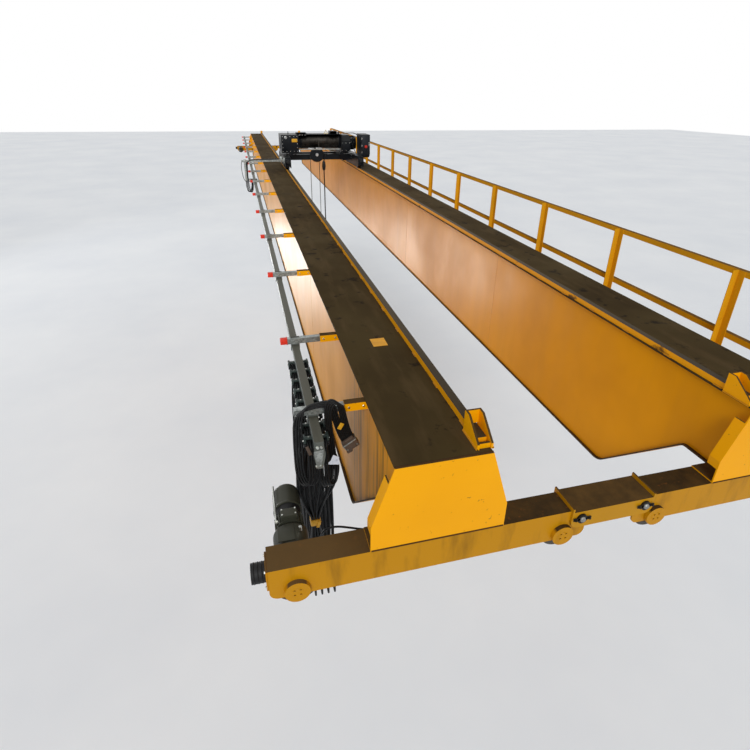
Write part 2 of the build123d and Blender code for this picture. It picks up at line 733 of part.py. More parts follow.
def deck_range():
    return RIGHT_WEB_FACE, RIGHT_WEB_FACE + DECK_WIDTH


def walkway_deck():
    return block(deck_range(), (-deck_half(), deck_half()), (DECK_TOP - DECK_PLATE, DECK_TOP))


def deck_half():
    return HALF - DECK_SETBACK


def even_posts():
    return evenly(FIRST_POST_SETBACK - HALF, POST_PITCH, deck_half() - END_POST_SETBACK)


def post_places():
    """The evenly spaced posts, then one near each end of the deck."""
    last = deck_half() - END_POST_SETBACK
    return even_posts() + [-last, last]


def walkway_brackets():
    """Triangular bracket plates under the deck, at the evenly spaced posts."""
    near, far = deck_range()
    under = DECK_TOP - DECK_PLATE
    shape = outline([(near, under - BRACKET_DEPTH), (near, under), (far, under), (far, under - BRACKET_TIP)])
    return [along_y(shape, *about(y, BRACKET_PLATE)) for y in even_posts()]


def handrail_posts():
    """Angle posts standing on the deck's outer edge."""
    outer = deck_range()[1]
    top = DECK_TOP + HANDRAIL_HEIGHT
    posts = []
    for y in post_places():
        post = block((outer - POST_SIZE, outer), about(y, POST_WALL), (DECK_TOP, top))
        post += block((outer - POST_WALL, outer), (y - POST_SIZE, y), (DECK_TOP, top))
        posts.append(post)
    return posts


def handrails():
    """Angle rails and the toe board, on the outer side of the posts."""
    outer = deck_range()[1]
    top = DECK_TOP + HANDRAIL_HEIGHT
    length = (-deck_half(), deck_half())
    rails = []
    for height in (top, top - MID_RAIL_DROP):
        rail = block((outer, outer + POST_WALL), length, (height - HANDRAIL_SIZE, height))
        rail += block((outer, outer + HANDRAIL_SIZE), length, (height - POST_WALL, height))
        rails.append(rail)
    rails.append(block((outer, outer + POST_WALL), length, (DECK_TOP, DECK_TOP + TOE_BOARD)))
    return rails


def crab_wheel_places():
    return [(side * RAIL_X, CRAB_CENTRE + way * CRAB_WHEELBASE / 2) for side in (-1, 1) for way in (-1, 1)]


def crab_axle_height():
    return RAIL_TOP + CRAB_WHEEL_RADIUS + RUN_GAP


def crab_carriage(side):
    """Inverted channel with bored cheeks for its two wheels."""
    ends = about(CRAB_CENTRE, CARRIAGE_LENGTH)
    half = CARRIAGE_WIDTH / 2
    cheek = outline([(ends[0], CARRIAGE_BOTTOM), (ends[1], CARRIAGE_BOTTOM), (ends[1], CARRIAGE_TOP),
                     (ends[0], CARRIAGE_TOP)], [CARRIAGE_CORNER, CARRIAGE_CORNER, 0, 0])
    for x, y in crab_wheel_places():
        if x * side > 0:
            cheek -= Pos(y, crab_axle_height()) * Circle(CRAB_AXLE_RADIUS + AXLE_CLEARANCE)
    solid = along_x(cheek, half - CARRIAGE_SIDE, half) + along_x(cheek, -half, CARRIAGE_SIDE - half)
    solid += block((-half, half), ends, (CARRIAGE_TOP - CARRIAGE_CAP, CARRIAGE_TOP))
    for end in ends:
        inward = math.copysign(CARRIAGE_SIDE, CRAB_CENTRE - end)
        solid += block((-half, half), (min(end, end + inward), max(end, end + inward)),
                       (CARRIAGE_BOTTOM + CARRIAGE_CORNER, CARRIAGE_TOP))
    return Pos(side * RAIL_X, 0, 0) * solid


def crab_wheel():
    """Double flanged wheel and axle, at the origin, along X."""
    flange = (CRAB_WHEEL_WIDTH - CRAB_TREAD) / 2
    solid = round_bar("X", (0, 0, 0), CRAB_WHEEL_RADIUS, CRAB_TREAD)
    for face in (-1, 1):
        place = (face * (CRAB_TREAD + flange) / 2, 0, 0)
        solid += round_bar("X", place, CRAB_WHEEL_RADIUS + CRAB_WHEEL_FLANGE, flange)
    return solid + round_bar("X", (0, 0, 0), CRAB_AXLE_RADIUS, CARRIAGE_WIDTH + 10)


def crab_beams():
    """Two box beams between the carriages, flush with their tops."""
    half = RAIL_X - CARRIAGE_WIDTH / 2
    height = (CARRIAGE_TOP - CROSS_BEAM_DEPTH, CARRIAGE_TOP)
    return [block((-half, half), about(y, CROSS_BEAM_WIDTH), height) for y in (NEAR_BEAM, FAR_BEAM)]


def crab_drive(side):
    """Geared motor that turns a far wheel, on the inner cheek of its carriage."""
    face = RAIL_X - CARRIAGE_WIDTH / 2
    y = CRAB_CENTRE + CRAB_WHEELBASE / 2
    low = crab_axle_height() - CRAB_DRIVE_DROP
    high = crab_axle_height() + CRAB_DRIVE_RISE
    near, far = about(y, CRAB_DRIVE_LENGTH)
    case = outline([(near, low), (far, low), (far, high), (near, high)], CRAB_DRIVE_CORNER)
    solid = along_x(case, face - CRAB_DRIVE_WIDTH, face)
    middle = face - CRAB_DRIVE_WIDTH - CRAB_MOTOR_LENGTH / 2
    height = crab_axle_height() + CRAB_MOTOR_RISE
    solid += round_bar("X", (middle, y, height), CRAB_MOTOR_RADIUS, CRAB_MOTOR_LENGTH)
    bore = CRAB_AXLE_RADIUS + PIN_CLEARANCE
    solid -= round_bar("X", (face, y, crab_axle_height()), bore, CARRIAGE_SIDE + 2)
    return solid if side > 0 else mirror(solid, Plane.YZ)


def bearer_places():
    """X of the bars under the gearcase and under the bearing plate."""
    return DRUM_START - GEARCASE_NOSE - HOIST_GEARCASE_WIDTH / 2, DRUM_END + DRUM_PLATE / 2


def hoist_bearers():
    """Bars along Y on the cross beams, under the gearcase and the bearing plate."""
    length = (HOIST_FRONT, FAR_BEAM + CROSS_BEAM_WIDTH / 2)
    return [block(about(x, BEARER_WIDTH), length, (CARRIAGE_TOP, BEARER_TOP)) for x in bearer_places()]


def drum_centre():
    return DRUM_FALL_Y + DRUM_RADIUS + ROPE_RADIUS + RUN_GAP


def shaft_bore(x):
    return round_bar("X", (x, drum_centre(), DRUM_HEIGHT), DRUM_SHAFT + AXLE_CLEARANCE, 6 * DRUM_PLATE)


def hoist_gearcase():
    """Gearcase at the drum's left end, standing on its bearer, with a round nose towards the drum."""
    tip = DRUM_START - RUN_GAP
    face = tip - GEARCASE_NOSE
    body = outline([(HOIST_FRONT, BEARER_TOP), (HOIST_BACK, BEARER_TOP), (HOIST_BACK, HOIST_TOP),
                    (HOIST_FRONT, HOIST_TOP)], [0, 0, HOIST_SHOULDER, HOIST_SHOULDER])
    solid = along_x(body, face - HOIST_GEARCASE_WIDTH, face)
    middle = ((face + tip) / 2, drum_centre(), DRUM_HEIGHT)
    solid += round_bar("X", middle, GEARCASE_NOSE_RADIUS, GEARCASE_NOSE)
    return solid - shaft_bore(tip)


def hoist_frame():
    """Bearing plate at the drum's right end, with the cover plate over the drum from the gearcase to it."""
    left = DRUM_START - GEARCASE_NOSE - RUN_GAP
    right = DRUM_END + RUN_GAP
    plate = block((right, right + DRUM_PLATE), (HOIST_FRONT, HOIST_BACK), (BEARER_TOP, HOIST_TOP))
    width = 2 * (DRUM_RADIUS + COVER_MARGIN)
    cover = block((left, right), about(drum_centre(), width), (HOIST_TOP - COVER_PLATE, HOIST_TOP))
    return plate + cover - shaft_bore(right)


def top_boxes():
    """Flat terminal box and taller limit switch box on the hoist."""
    depth = (TOP_BOX_FRONT, TOP_BOX_FRONT + TOP_BOX_DEPTH)
    return [block(ends, depth, (HOIST_TOP, HOIST_TOP + height))
            for ends, height in ((FLAT_BOX, FLAT_BOX_HEIGHT), (TALL_BOX, TALL_BOX_HEIGHT))]


def sheave_support():
    """Plate on the near cross beam that carries the return sheave's pin."""
    back = NEAR_BEAM - CROSS_BEAM_WIDTH / 2
    face = back - SHEAVE_PLATE_THICKNESS
    height = (CARRIAGE_TOP - CROSS_BEAM_DEPTH, CARRIAGE_TOP - CROSS_BEAM_DEPTH + SHEAVE_PLATE_HEIGHT)
    plate = block(about(sheave_x(), SHEAVE_PLATE_WIDTH), (face, back), height)
    front = DEAD_FALL_Y - SHEAVE_WIDTH / 2
    return plate + along_y(Pos(sheave_x(), SHEAVE_HEIGHT) * Circle(SHEAVE_PIN), front, face)


def sheave_x():
    return DEAD_FALL_X + SHEAVE_RADIUS + ROPE_RADIUS + RUN_GAP


def grooved_sheave(radius, width, bore):
    """Sheave at the origin with its axis along Y: a rope groove between two lips."""
    groove = ROPE_RADIUS + 2
    half = width / 2
    lip = radius + SHEAVE_LIP
    section = Polyline((bore, -half), (lip, -half), (lip, -groove), (radius, -groove),
                       (radius, groove), (lip, groove), (lip, half), (bore, half), close=True)
    return Rot(-90, 0, 0) * revolve(Plane.XZ * make_face(section), Axis.Z)


def return_sheave():
    sheave = grooved_sheave(SHEAVE_RADIUS, SHEAVE_WIDTH, SHEAVE_PIN + AXLE_CLEARANCE)
    return Pos(sheave_x(), DEAD_FALL_Y, SHEAVE_HEIGHT) * sheave


def rope_drum():
    middle = (DRUM_START + DRUM_END) / 2
    length = DRUM_END - DRUM_START
    place = (middle, drum_centre(), DRUM_HEIGHT)
    shaft = round_bar("X", place, DRUM_SHAFT, length + 2 * DRUM_PLATE)
    return round_bar("X", place, DRUM_RADIUS, length) + shaft


def rope_guide():
    """Bar in front of the drum's foot that leads the rope."""
    left = DRUM_START - GEARCASE_NOSE - RUN_GAP
    height = DRUM_HEIGHT - DRUM_RADIUS
    middle = DRUM_FALL_Y - GUIDE_OFFSET
    return block((left, DRUM_END + RUN_GAP), about(middle, GUIDE_SIZE), about(height, GUIDE_SIZE))


def motor_housing():
    """Brake and coupling housing on the bearing plate, its front sloping down from the top."""
    start = DRUM_END + RUN_GAP + DRUM_PLATE
    high = HOIST_TOP - HOUSING_DROP
    shape = outline([
        (HOUSING_FRONT, BEARER_TOP), (HOUSING_BACK, BEARER_TOP), (HOUSING_BACK, high),
        (HOUSING_FRONT + HOUSING_SLOPE, high), (HOUSING_FRONT, high - HOUSING_SLOPE)])
    return along_x(shape, start, start + HOUSING_LENGTH)


def hoist_motor():
    start = DRUM_END + RUN_GAP + DRUM_PLATE + HOUSING_LENGTH
    place = (start + HOIST_MOTOR_LENGTH / 2, drum_centre(), DRUM_HEIGHT - HOIST_MOTOR_DROP)
    return round_bar("X", place, HOIST_MOTOR_RADIUS, HOIST_MOTOR_LENGTH)


def cabinet_range():
    start = RAIL_X + CARRIAGE_WIDTH / 2
    return start, start + CABINET_WIDTH


def control_cabinet():
    height = (CARRIAGE_TOP, CARRIAGE_TOP + CABINET_HEIGHT)
    return block(cabinet_range(), (CABINET_FRONT, CABINET_FRONT + CABINET_DEPTH), height)


def cabinet_brackets():
    height = (CARRIAGE_TOP - CABINET_BAR, CARRIAGE_TOP)
    places = (CABINET_FRONT + CABINET_BAR_SETBACK, CABINET_FRONT + CABINET_DEPTH - CABINET_BAR_SETBACK)
    return [block(cabinet_range(), about(y, CABINET_BAR), height) for y in places]


def tow_bar_height():
    return TRACK_BOTTOM - TOW_BAR_DROP


def tow_arm():
    """Tube out past the festoon arms, a drop tube and a bar back to the towed carriage."""
    start = -(RAIL_X + CARRIAGE_WIDTH / 2)
    reach = (TOW_X - TOW_TUBE / 2 - TOW_STUB, start)
    low = tow_bar_height() - TOW_TUBE / 2
    solid = block(reach, about(TOW_Y, TOW_TUBE), about(TOW_HEIGHT, TOW_TUBE))
    solid += block(about(TOW_X, TOW_TUBE), about(TOW_Y, TOW_TUBE), (low, TOW_HEIGHT))
    end = TRACK_X - TOW_CARRIAGE_WIDTH / 2
    return solid + block((TOW_X, end), about(TOW_Y, TOW_TUBE), (low, low + TOW_TUBE))


def tow_carriage():
    """Carriage that the tow arm pulls along the track."""
    top = TRACK_BOTTOM + TRACK_WALL - NECK_DROP
    body = block(about(TRACK_X, TOW_CARRIAGE_WIDTH), about(TOW_Y, TOW_CARRIAGE_LENGTH), (SADDLE_BOTTOM, top))
    return track_runner(TOW_Y) + body


def hoist_rope(x, y, top):
    return round_bar("Z", (x, y, (BLOCK_HEIGHT + top) / 2), ROPE_RADIUS, top - BLOCK_HEIGHT)


def falls_apart():
    return math.hypot(DRUM_FALL_X - DEAD_FALL_X, DRUM_FALL_Y - DEAD_FALL_Y)


def under_the_falls(shape):
    """Moves a shape from the origin to midway between the falls, turned into their plane."""
    turn = math.degrees(math.atan2(DRUM_FALL_Y - DEAD_FALL_Y, DRUM_FALL_X - DEAD_FALL_X))
    middle = Pos((DEAD_FALL_X + DRUM_FALL_X) / 2, (DEAD_FALL_Y + DRUM_FALL_Y) / 2, BLOCK_HEIGHT)
    return middle * Rot(0, 0, turn) * shape


def hook_block():
    """Cheeks and cross head of the bottom block."""
    radius = falls_apart() / 2 + BLOCK_EDGE
    low = -BLOCK_DEPTH
    foot = BLOCK_FOOT_WIDTH / 2
    shape = outline([(-foot, low), (foot, low), (radius, 0), (-radius, 0)],
                    [BLOCK_FOOT_RADIUS, BLOCK_FOOT_RADIUS, 0, 0])
    shape += Circle(radius)
    half = BLOCK_GAP / 2
    solid = along_y(shape, half, half + BLOCK_PLATE) + along_y(shape, -half - BLOCK_PLATE, -half)
    solid -= round_bar("Y", (0, 0, 0), BLOCK_PIN + PIN_CLEARANCE, 2 * BLOCK_GAP)
    solid += block(about(0, CROSS_HEAD_WIDTH), (-half, half), (low, low + CROSS_HEAD))
    return under_the_falls(solid - round_bar("Z", (0, 0, low), SHANK_RADIUS + AXLE_CLEARANCE, 3 * CROSS_HEAD))


def block_sheave():
    pitch = falls_apart() / 2 - ROPE_RADIUS - RUN_GAP
    pin = round_bar("Y", (0, 0, 0), BLOCK_PIN, BLOCK_GAP + 2 * BLOCK_PLATE)
    return under_the_falls(grooved_sheave(pitch, SHEAVE_WIDTH, BLOCK_PIN / 2) + pin)


def hook_path():
    """Centre line of the hook in its own plane, from the shank round the bowl to the tip."""
    lean = HOOK_THROAT - 2 * HOOK_BEND * (1 - math.cos(math.radians(45)))
    rise = 2 * HOOK_BEND * math.sin(math.radians(45)) + lean
    first = JernArc(start=(0, rise), tangent=(0, -1), radius=HOOK_BEND, arc_size=-45)
    slope = Line(first @ 1, (first @ 1) + Vector(-lean, -lean))
    second = JernArc(start=slope @ 1, tangent=slope % 1, radius=HOOK_BEND, arc_size=45)
    bowl = JernArc(start=second @ 1, tangent=second % 1, radius=HOOK_THROAT, arc_size=HOOK_SWEEP)
    return Wire([*first.edges(), *slope.edges(), *second.edges(), *bowl.edges()]), rise


def crane_hook():
    """Single point hook with its shank and nut, hanging from the cross head."""
    path, rise = hook_path()
    head = -BLOCK_DEPTH
    drop = head - SHANK_LENGTH - rise
    path = Plane(origin=(0, 0, drop), x_dir=(1, 0, 0), z_dir=(0, -1, 0)) * path
    body = sweep(Plane(origin=path @ 0, z_dir=path % 0) * Circle(HOOK_RADIUS), path=path)
    tip = Pos(*(path @ 1)) * Sphere(HOOK_RADIUS)
    top = head + CROSS_HEAD + RUN_GAP
    shank = Pos(0, 0, (head - SHANK_LENGTH + top) / 2) * Cylinder(SHANK_RADIUS, top - head + SHANK_LENGTH)
    nut = Pos(0, 0, top + NUT_DEPTH / 2) * Cylinder(NUT_RADIUS, NUT_DEPTH)
    return under_the_falls(body + tip + shank + nut)


def save(name, solids):
    """Write one node, whose solids stay separate."""
    pieces = solids if isinstance(solids, list) else [solids]
    bodies = [solid for piece in pieces for solid in piece.solids()]
    export_step(Compound(children=bodies) if len(bodies) > 1 else bodies[0], f"parts/{name}.step")


def save_bridge():
    save("girder_top_plates", top_plates())
    save("girder_webs", webs())
    save("girder_bottom_plates", bottom_plates())
    save("girder_end_boxes", end_boxes())
    save("trolley_rails", trolley_rails())
    save("rail_end_stops", rail_stops())
    for end, end_name in ((-1, "near"), (1, "far")):
        for side, side_name in ((-1, "left"), (1, "right")):
            save(f"end_truck_{end_name}_{side_name}", end_truck(side * GIRDER_SPACING / 2, end))
    save("link_beams", [link_beam(-1), link_beam(1)])
    save("link_pins", link_pins())
    save("buffers", buffers())
    save("travel_gearcases", [travel_gearcase(x, end) for x, end in drive_places()])
    save("travel_motors", [travel_motor(x, end) for x, end in drive_places()])


def save_festoon():
    save("festoon_brackets", festoon_brackets())
    save("festoon_arms", festoon_arms())
    save("festoon_arm_caps", festoon_arm_caps())
    save("festoon_track", [festoon_track(), track_end_plate(-1), track_end_plate(1)] + track_hangers())
    save("cable_carriages", cable_carriages())
    save("cable_bundle", [parked_loops(), cable_tail()])
    save("cable_connector", cable_connector())


def save_walkway():
    save("walkway_deck", walkway_deck())
    save("walkway_brackets", walkway_brackets())
    save("handrail_posts", handrail_posts())
    save("handrails", handrails())


def save_crane_wheels():
    wheel = crane_wheel()
    for end, end_name in ((-1, "near"), (1, "far")):
        places = [side * GIRDER_SPACING / 2 + way * WHEELBASE / 2 for side in (-1, 1) for way in (-1, 1)]
        for number, x in enumerate(places, 1):
            save(f"crane_wheel_{end_name}_{number}", Pos(x, end * SPAN / 2, WHEEL_RADIUS) * wheel)


def save_trolley():
    save("crab_carriages", [crab_carriage(-1), crab_carriage(1)])
    save("crab_cross_beams", crab_beams())
    save("crab_drives", [crab_drive(-1), crab_drive(1)])
    wheel = crab_wheel()
    for number, (x, y) in enumerate(crab_wheel_places(), 1):
        save(f"crab_wheel_{number}", Pos(x, y, crab_axle_height()) * wheel)
    save("hoist_bearers", hoist_bearers())
    save("hoist_gearcase", hoist_gearcase())
    save("hoist_frame", hoist_frame())
    save("hoist_top_boxes", top_boxes())
    save("sheave_support", sheave_support())
    save("return_sheave", return_sheave())
    save("rope_drum", rope_drum())
    save("rope_guide", rope_guide())
    save("motor_housing", motor_housing())
    save("hoist_motor", hoist_motor())
    save("control_cabinet", control_cabinet())
    save("cabinet_brackets", cabinet_brackets())
    save("tow_arm", tow_arm())
    save("tow_carriage", tow_carriage())


def save_hook():
    save("dead_end_rope", hoist_rope(DEAD_FALL_X, DEAD_FALL_Y, SHEAVE_HEIGHT))
    save("drum_rope", hoist_rope(DRUM_FALL_X, DRUM_FALL_Y, DRUM_HEIGHT))
    save("hook_block", hook_block())
    save("block_sheave", block_sheave())
    save("crane_hook", crane_hook())


os.makedirs("parts", exist_ok=True)
save_bridge()
save_festoon()
save_walkway()
save_crane_wheels()
save_trolley()
save_hook()
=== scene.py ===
"""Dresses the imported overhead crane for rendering: finishes, cables, bolts, welds and light.

All lengths are metres in the crane's own frame: Y along the girders, Z up, rail heads of the runway at zero.
"""

import itertools
import math

import bmesh
import bpy
from mathutils import Matrix, Vector


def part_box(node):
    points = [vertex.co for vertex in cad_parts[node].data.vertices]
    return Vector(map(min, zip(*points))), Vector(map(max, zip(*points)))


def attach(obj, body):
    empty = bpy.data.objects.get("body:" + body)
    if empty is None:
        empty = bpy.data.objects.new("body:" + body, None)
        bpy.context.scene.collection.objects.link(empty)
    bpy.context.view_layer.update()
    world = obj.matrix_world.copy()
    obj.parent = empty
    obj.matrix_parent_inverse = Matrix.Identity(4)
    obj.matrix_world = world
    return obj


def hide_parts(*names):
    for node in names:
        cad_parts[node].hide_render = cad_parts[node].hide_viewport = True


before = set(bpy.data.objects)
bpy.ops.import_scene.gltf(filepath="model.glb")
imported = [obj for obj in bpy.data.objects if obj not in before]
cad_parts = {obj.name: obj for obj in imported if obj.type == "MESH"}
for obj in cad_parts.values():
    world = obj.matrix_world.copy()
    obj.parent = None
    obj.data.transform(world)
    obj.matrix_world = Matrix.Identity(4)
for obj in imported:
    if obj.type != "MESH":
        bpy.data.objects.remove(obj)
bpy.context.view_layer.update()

# Heights and places that many pieces share
GIRDER_X = 1.0425
FLANGE_TOP = 0.75
FLANGE_HALF = 0.25
WEB_OUT = 0.228
GIRDER_BOTTOM = -0.42
GIRDER_END = 11.3275
TRUCK_TOP = 0.25
TRUCK_FACE = 11.3415
WHEEL_X = (-1.7775, -0.3075, 0.3075, 1.7775)
AXLE_Z = 0.1
RUNWAY_Y = 11.25
TRAVEL_MOTOR_Z = 0.16
PIN_X = 0.207
ARM_Z = 0.705
END_ARM = -10.6925
ARM_PITCH = 1.515
ARM_PLACES = [END_ARM] + [-9.7775 + ARM_PITCH * number for number in range(14)]
ARM_TIP = -1.6455
TRACK_X = -1.5905
TRACK_END = 10.9485
CARRIAGE_PITCH = 0.126
CARRIAGE_PLACES = [-10.8105 + CARRIAGE_PITCH * number for number in range(8)]
TOW_Y = -1.21
POST_PITCH = 1.5
POST_PLACES = [-9.88 + POST_PITCH * number for number in range(14)] + [-10.4575, 10.4575]
HANDRAIL_X = 2.2205
DECK_TOP = -0.1
RAIL_X = 0.825
CRAB_Y = (-1.06, 0.14)
CRAB_AXLE_Z = 0.8703
CRAB_MOTOR = (CRAB_Y[1], 0.9153)
HOIST_FACE = -0.872
HOIST_TOP = 1.497
BRAKE_FACE = -0.772
HOIST_MOTOR = (-0.4777, 1.287)
CABINET_FACE = -1.117
SHEAVE_FACE = (-0.0937, -0.718, 1.047)
DRUM = (-0.4777, 1.327)
FALLS = ((-0.251, -0.70), (-0.034, -0.64))
HOOK_X = -0.1425
FLOOR = -7.4
UP = (0, 0, 1)
NEAR = (0, -1, 0)
RIGHT = (1, 0, 0)


def linear(code):
    """Turns an sRGB hex colour such as #F0A800 into the renderer's linear colour."""
    parts = [int(code[place:place + 2], 16) / 255 for place in (1, 3, 5)]
    shades = [part / 12.92 if part <= 0.04045 else ((part + 0.055) / 1.055) ** 2.4 for part in parts]
    return (*shades, 1.0)


def add(tree, kind, inputs=None, **settings):
    """Adds a node, sets it, and gives its sockets values or links them to other nodes' outputs."""
    made = tree.nodes.new("ShaderNode" + kind)
    for name, value in settings.items():
        setattr(made, name, value)
    for key, value in (inputs or {}).items():
        if isinstance(value, bpy.types.NodeSocket):
            tree.links.new(value, made.inputs[key])
        else:
            made.inputs[key].default_value = value
    return made


# Finishes

def surface(name, colour, roughness, metallic=0.0, gloss=0.5):
    """Starts a finish and returns it with its tree and the place on the piece."""
    finish = bpy.data.materials.new(name)
    finish.use_nodes = True
    tree = finish.node_tree
    shader = tree.nodes["Principled BSDF"]
    shader.inputs["Base Color"].default_value = linear(colour)
    shader.inputs["Roughness"].default_value = roughness
    shader.inputs["Metallic"].default_value = metallic
    shader.inputs["Specular IOR Level"].default_value = gloss
    return finish, tree, add(tree, "TexCoord").outputs["Object"]


def patches(tree, place, size, low, high, stretch=(1, 1, 1), detail=4.0):
    """Soft-edged patches of a real size, from 0 outside to 1 inside."""
    where = add(tree, "Mapping", {"Vector": place, "Scale": stretch}).outputs[0]
    cloud = add(tree, "TexNoise", {"Vector": where, "Scale": 1 / size, "Detail": detail, "Roughness": 0.6})
    return beyond(tree, cloud.outputs[0], low, high)


def tint(tree, amount, colour, other):
    """Colour where the amount is 0, the other where it is 1."""
    both = [tone if isinstance(tone, bpy.types.NodeSocket) else linear(tone) for tone in (colour, other)]
    return add(tree, "Mix", {0: amount, 6: both[0], 7: both[1]}, data_type="RGBA").outputs[2]


def scaled(tree, amount, by):
    """An amount times a number or another amount."""
    return add(tree, "Math", {0: amount, 1: by}, operation="MULTIPLY").outputs[0]


def feed(tree, socket, value):
    """Links a value to a socket of the finish's shader."""
    tree.links.new(value, tree.nodes["Principled BSDF"].inputs[socket])


def relief(tree, height, depth):
    """Raises the surface by a depth in metres where the height is 1."""
    bump = add(tree, "Bump", {"Height": height, "Distance": depth, "Strength": 1.0})
    feed(tree, "Normal", bump.outputs[0])


def grain(tree, place, size, depth):
    """Fine relief all over the surface, in grains of a real size."""
    relief(tree, patches(tree, place, size, 0.3, 0.7), depth)


def upward(tree, low=0.55, high=0.75):
    """1 on faces that look up, 0 on walls and undersides."""
    normal = add(tree, "SeparateXYZ", {0: add(tree, "NewGeometry").outputs["Normal"]}).outputs[2]
    return beyond(tree, normal, low, high)


def beyond(tree, value, start, end):
    """0 until a value reaches its start, 1 from its end on."""
    return add(tree, "MapRange", {"Value": value, "From Min": start, "From Max": end}).outputs[0]


def between(tree, amount, low, high):
    """The low value where the amount is 0, the high one where it is 1."""
    return add(tree, "MapRange", {"Value": amount, "To Min": low, "To Max": high}).outputs[0]


def yellow_enamel(name="sprayed_yellow_enamel", colour="#F2A800", shade="#E69C02",
                  dust=("#5A4222", "#3F2F1A")):
    """Alkyd enamel sprayed on steel: satin, in faint bands, with brown shop dust lying on what faces up."""
    finish, tree, place = surface(name, colour, 0.45, gloss=0.12)
    cloud = patches(tree, place, 1.1, 0.42, 0.72)
    tone = tint(tree, cloud, colour, shade)
    specks = patches(tree, place, 0.03, 0.7, 0.76, detail=2.0)
    tone = tint(tree, specks, tone, "#B07A14")
    settled = tint(tree, patches(tree, place, 0.12, 0.35, 0.7), *dust)
    feed(tree, "Base Color", tint(tree, upward(tree), tone, settled))
    feed(tree, "Roughness", beyond(tree, upward(tree), -0.7, 1.0))
    grain(tree, place, 0.004, 0.00008)
    return finish


def web_enamel():
    """Enamel on the girders' webs: plate waves, faint brush-wide bands, and rain streaks at the near end."""
    finish, tree, place = surface("web_plate_enamel", "#E59902", 0.36, gloss=0.06)
    axes = add(tree, "SeparateXYZ", {0: place}).outputs
    cloud = patches(tree, place, 1.6, 0.4, 0.7)
    tone = tint(tree, cloud, "#E59902", "#D08803")
    bands = patches(tree, place, 0.5, 0.5, 0.85, (1, 1, 0.12))
    tone = tint(tree, scaled(tree, bands, 0.3), tone, "#B27A1C")
    wet = scaled(tree, beyond(tree, axes[1], -10.0, -10.6), beyond(tree, axes[0], -1.0, -1.2))
    streaks = patches(tree, place, 0.05, 0.5, 0.62, (1, 1, 0.035), 3.0)
    tone = tint(tree, scaled(tree, scaled(tree, streaks, wet), 0.75), tone, "#75511A")
    washed = patches(tree, place, 0.035, 0.6, 0.72, (1.3, 1.3, 0.03), 2.0)
    tone = tint(tree, scaled(tree, scaled(tree, washed, wet), 0.6), tone, "#BE8E30")
    edge = patches(tree, place, 0.02, 0.2, 0.6)
    feed(tree, "Base Color", tint(tree, upward(tree), tone, tint(tree, edge, "#3F2F1A", "#5A4222")))
    feed(tree, "Roughness", between(tree, cloud, 0.32, 0.44))
    relief(tree, patches(tree, place, 0.22, 0.2, 0.8, (1, 1, 0.12), 1.0), 0.002)
    return finish


def bottom_plate_enamel():
    """Bottom plates: yellow below, brown on their edges and on the ledges that face up."""
    finish, tree, place = surface("bottom_plate_enamel", "#D08E0C", 0.5, gloss=0.12)
    down = beyond(tree, upward(tree, 0.6, -0.6), 0.75, 0.9)
    tone = tint(tree, patches(tree, place, 0.5, 0.4, 0.7), "#E09A08", "#C9890F")
    edge = tint(tree, patches(tree, place, 0.06, 0.4, 0.7), "#4A3419", "#2F2314")
    # Brown on every face but the underside.
    feed(tree, "Base Color", tint(tree, down, edge, tone))
    grain(tree, place, 0.004, 0.0001)
    return finish


def truck_enamel_painted_shade():
    """The same enamel on the end trucks, its sides darkened as painted shade, whose tops are brown, trodden,
    rusty and paler to the left.
    """
    finish, tree, place = surface("truck_enamel_painted_shade", "#B8800A", 0.45, gloss=0.1)
    across = add(tree, "SeparateXYZ", {0: place}).outputs[0]
    marks = patches(tree, place, 0.09, 0.5, 0.8, (1, 1, 0.2))
    # The sides' yellow is darker than the enamel elsewhere: painted shade on the trucks' faces.
    side = tint(tree, marks, "#B8800A", "#8E620C")
    trodden = patches(tree, place, 0.13, 0.35, 0.7)
    top = tint(tree, trodden, "#473317", "#2C2010")
    rust = patches(tree, place, 0.03, 0.62, 0.7)
    top = tint(tree, rust, top, "#5A3818")
    top = tint(tree, scaled(tree, beyond(tree, across, -1.1, -1.6), 0.7), top, "#6A5130")
    feed(tree, "Base Color", tint(tree, upward(tree), side, top))
    feed(tree, "Roughness", beyond(tree, upward(tree), -1.2, 1.8))
    grain(tree, place, 0.006, 0.0003)
    return finish


def shop_primer():
    """Red-brown shop primer on rolled plate: matt, stained by water and boots, rubbed along the plate."""
    finish, tree, place = surface("brown_shop_primer", "#382D1C", 0.8, gloss=0.04)
    cloud = patches(tree, place, 0.7, 0.35, 0.7)
    tone = tint(tree, cloud, "#44371F", "#392D1B")
    rubbed = patches(tree, place, 0.11, 0.5, 0.75, (1, 0.18, 1))
    tone = tint(tree, rubbed, tone, "#4F3F28")
    stains = patches(tree, place, 0.16, 0.6, 0.68)
    tone = tint(tree, stains, tone, "#251D13")
    rust = patches(tree, place, 0.05, 0.7, 0.76)
    feed(tree, "Base Color", tint(tree, rust, tone, "#573A1E"))
    feed(tree, "Roughness", between(tree, cloud, 0.72, 0.88))
    grain(tree, place, 0.004, 0.0002)
    return finish


def painted_rail():
    """Hot rolled flat bar: brown with a run-in band on top, its sides brushed over in yellow."""
    finish, tree, place = surface("rolled_rail_bar", "#4A3A28", 0.55, gloss=0.1)
    worn = patches(tree, place, 0.2, 0.4, 0.7, (1, 0.1, 1))
    top = tint(tree, worn, "#3A2F1F", "#52442E")
    missed = patches(tree, place, 0.1, 0.62, 0.7, (1, 0.4, 1))
    side = tint(tree, missed, "#E99E08", "#6A4718")
    feed(tree, "Base Color", tint(tree, upward(tree), side, top))
    grain(tree, place, 0.01, 0.0002)
    return finish


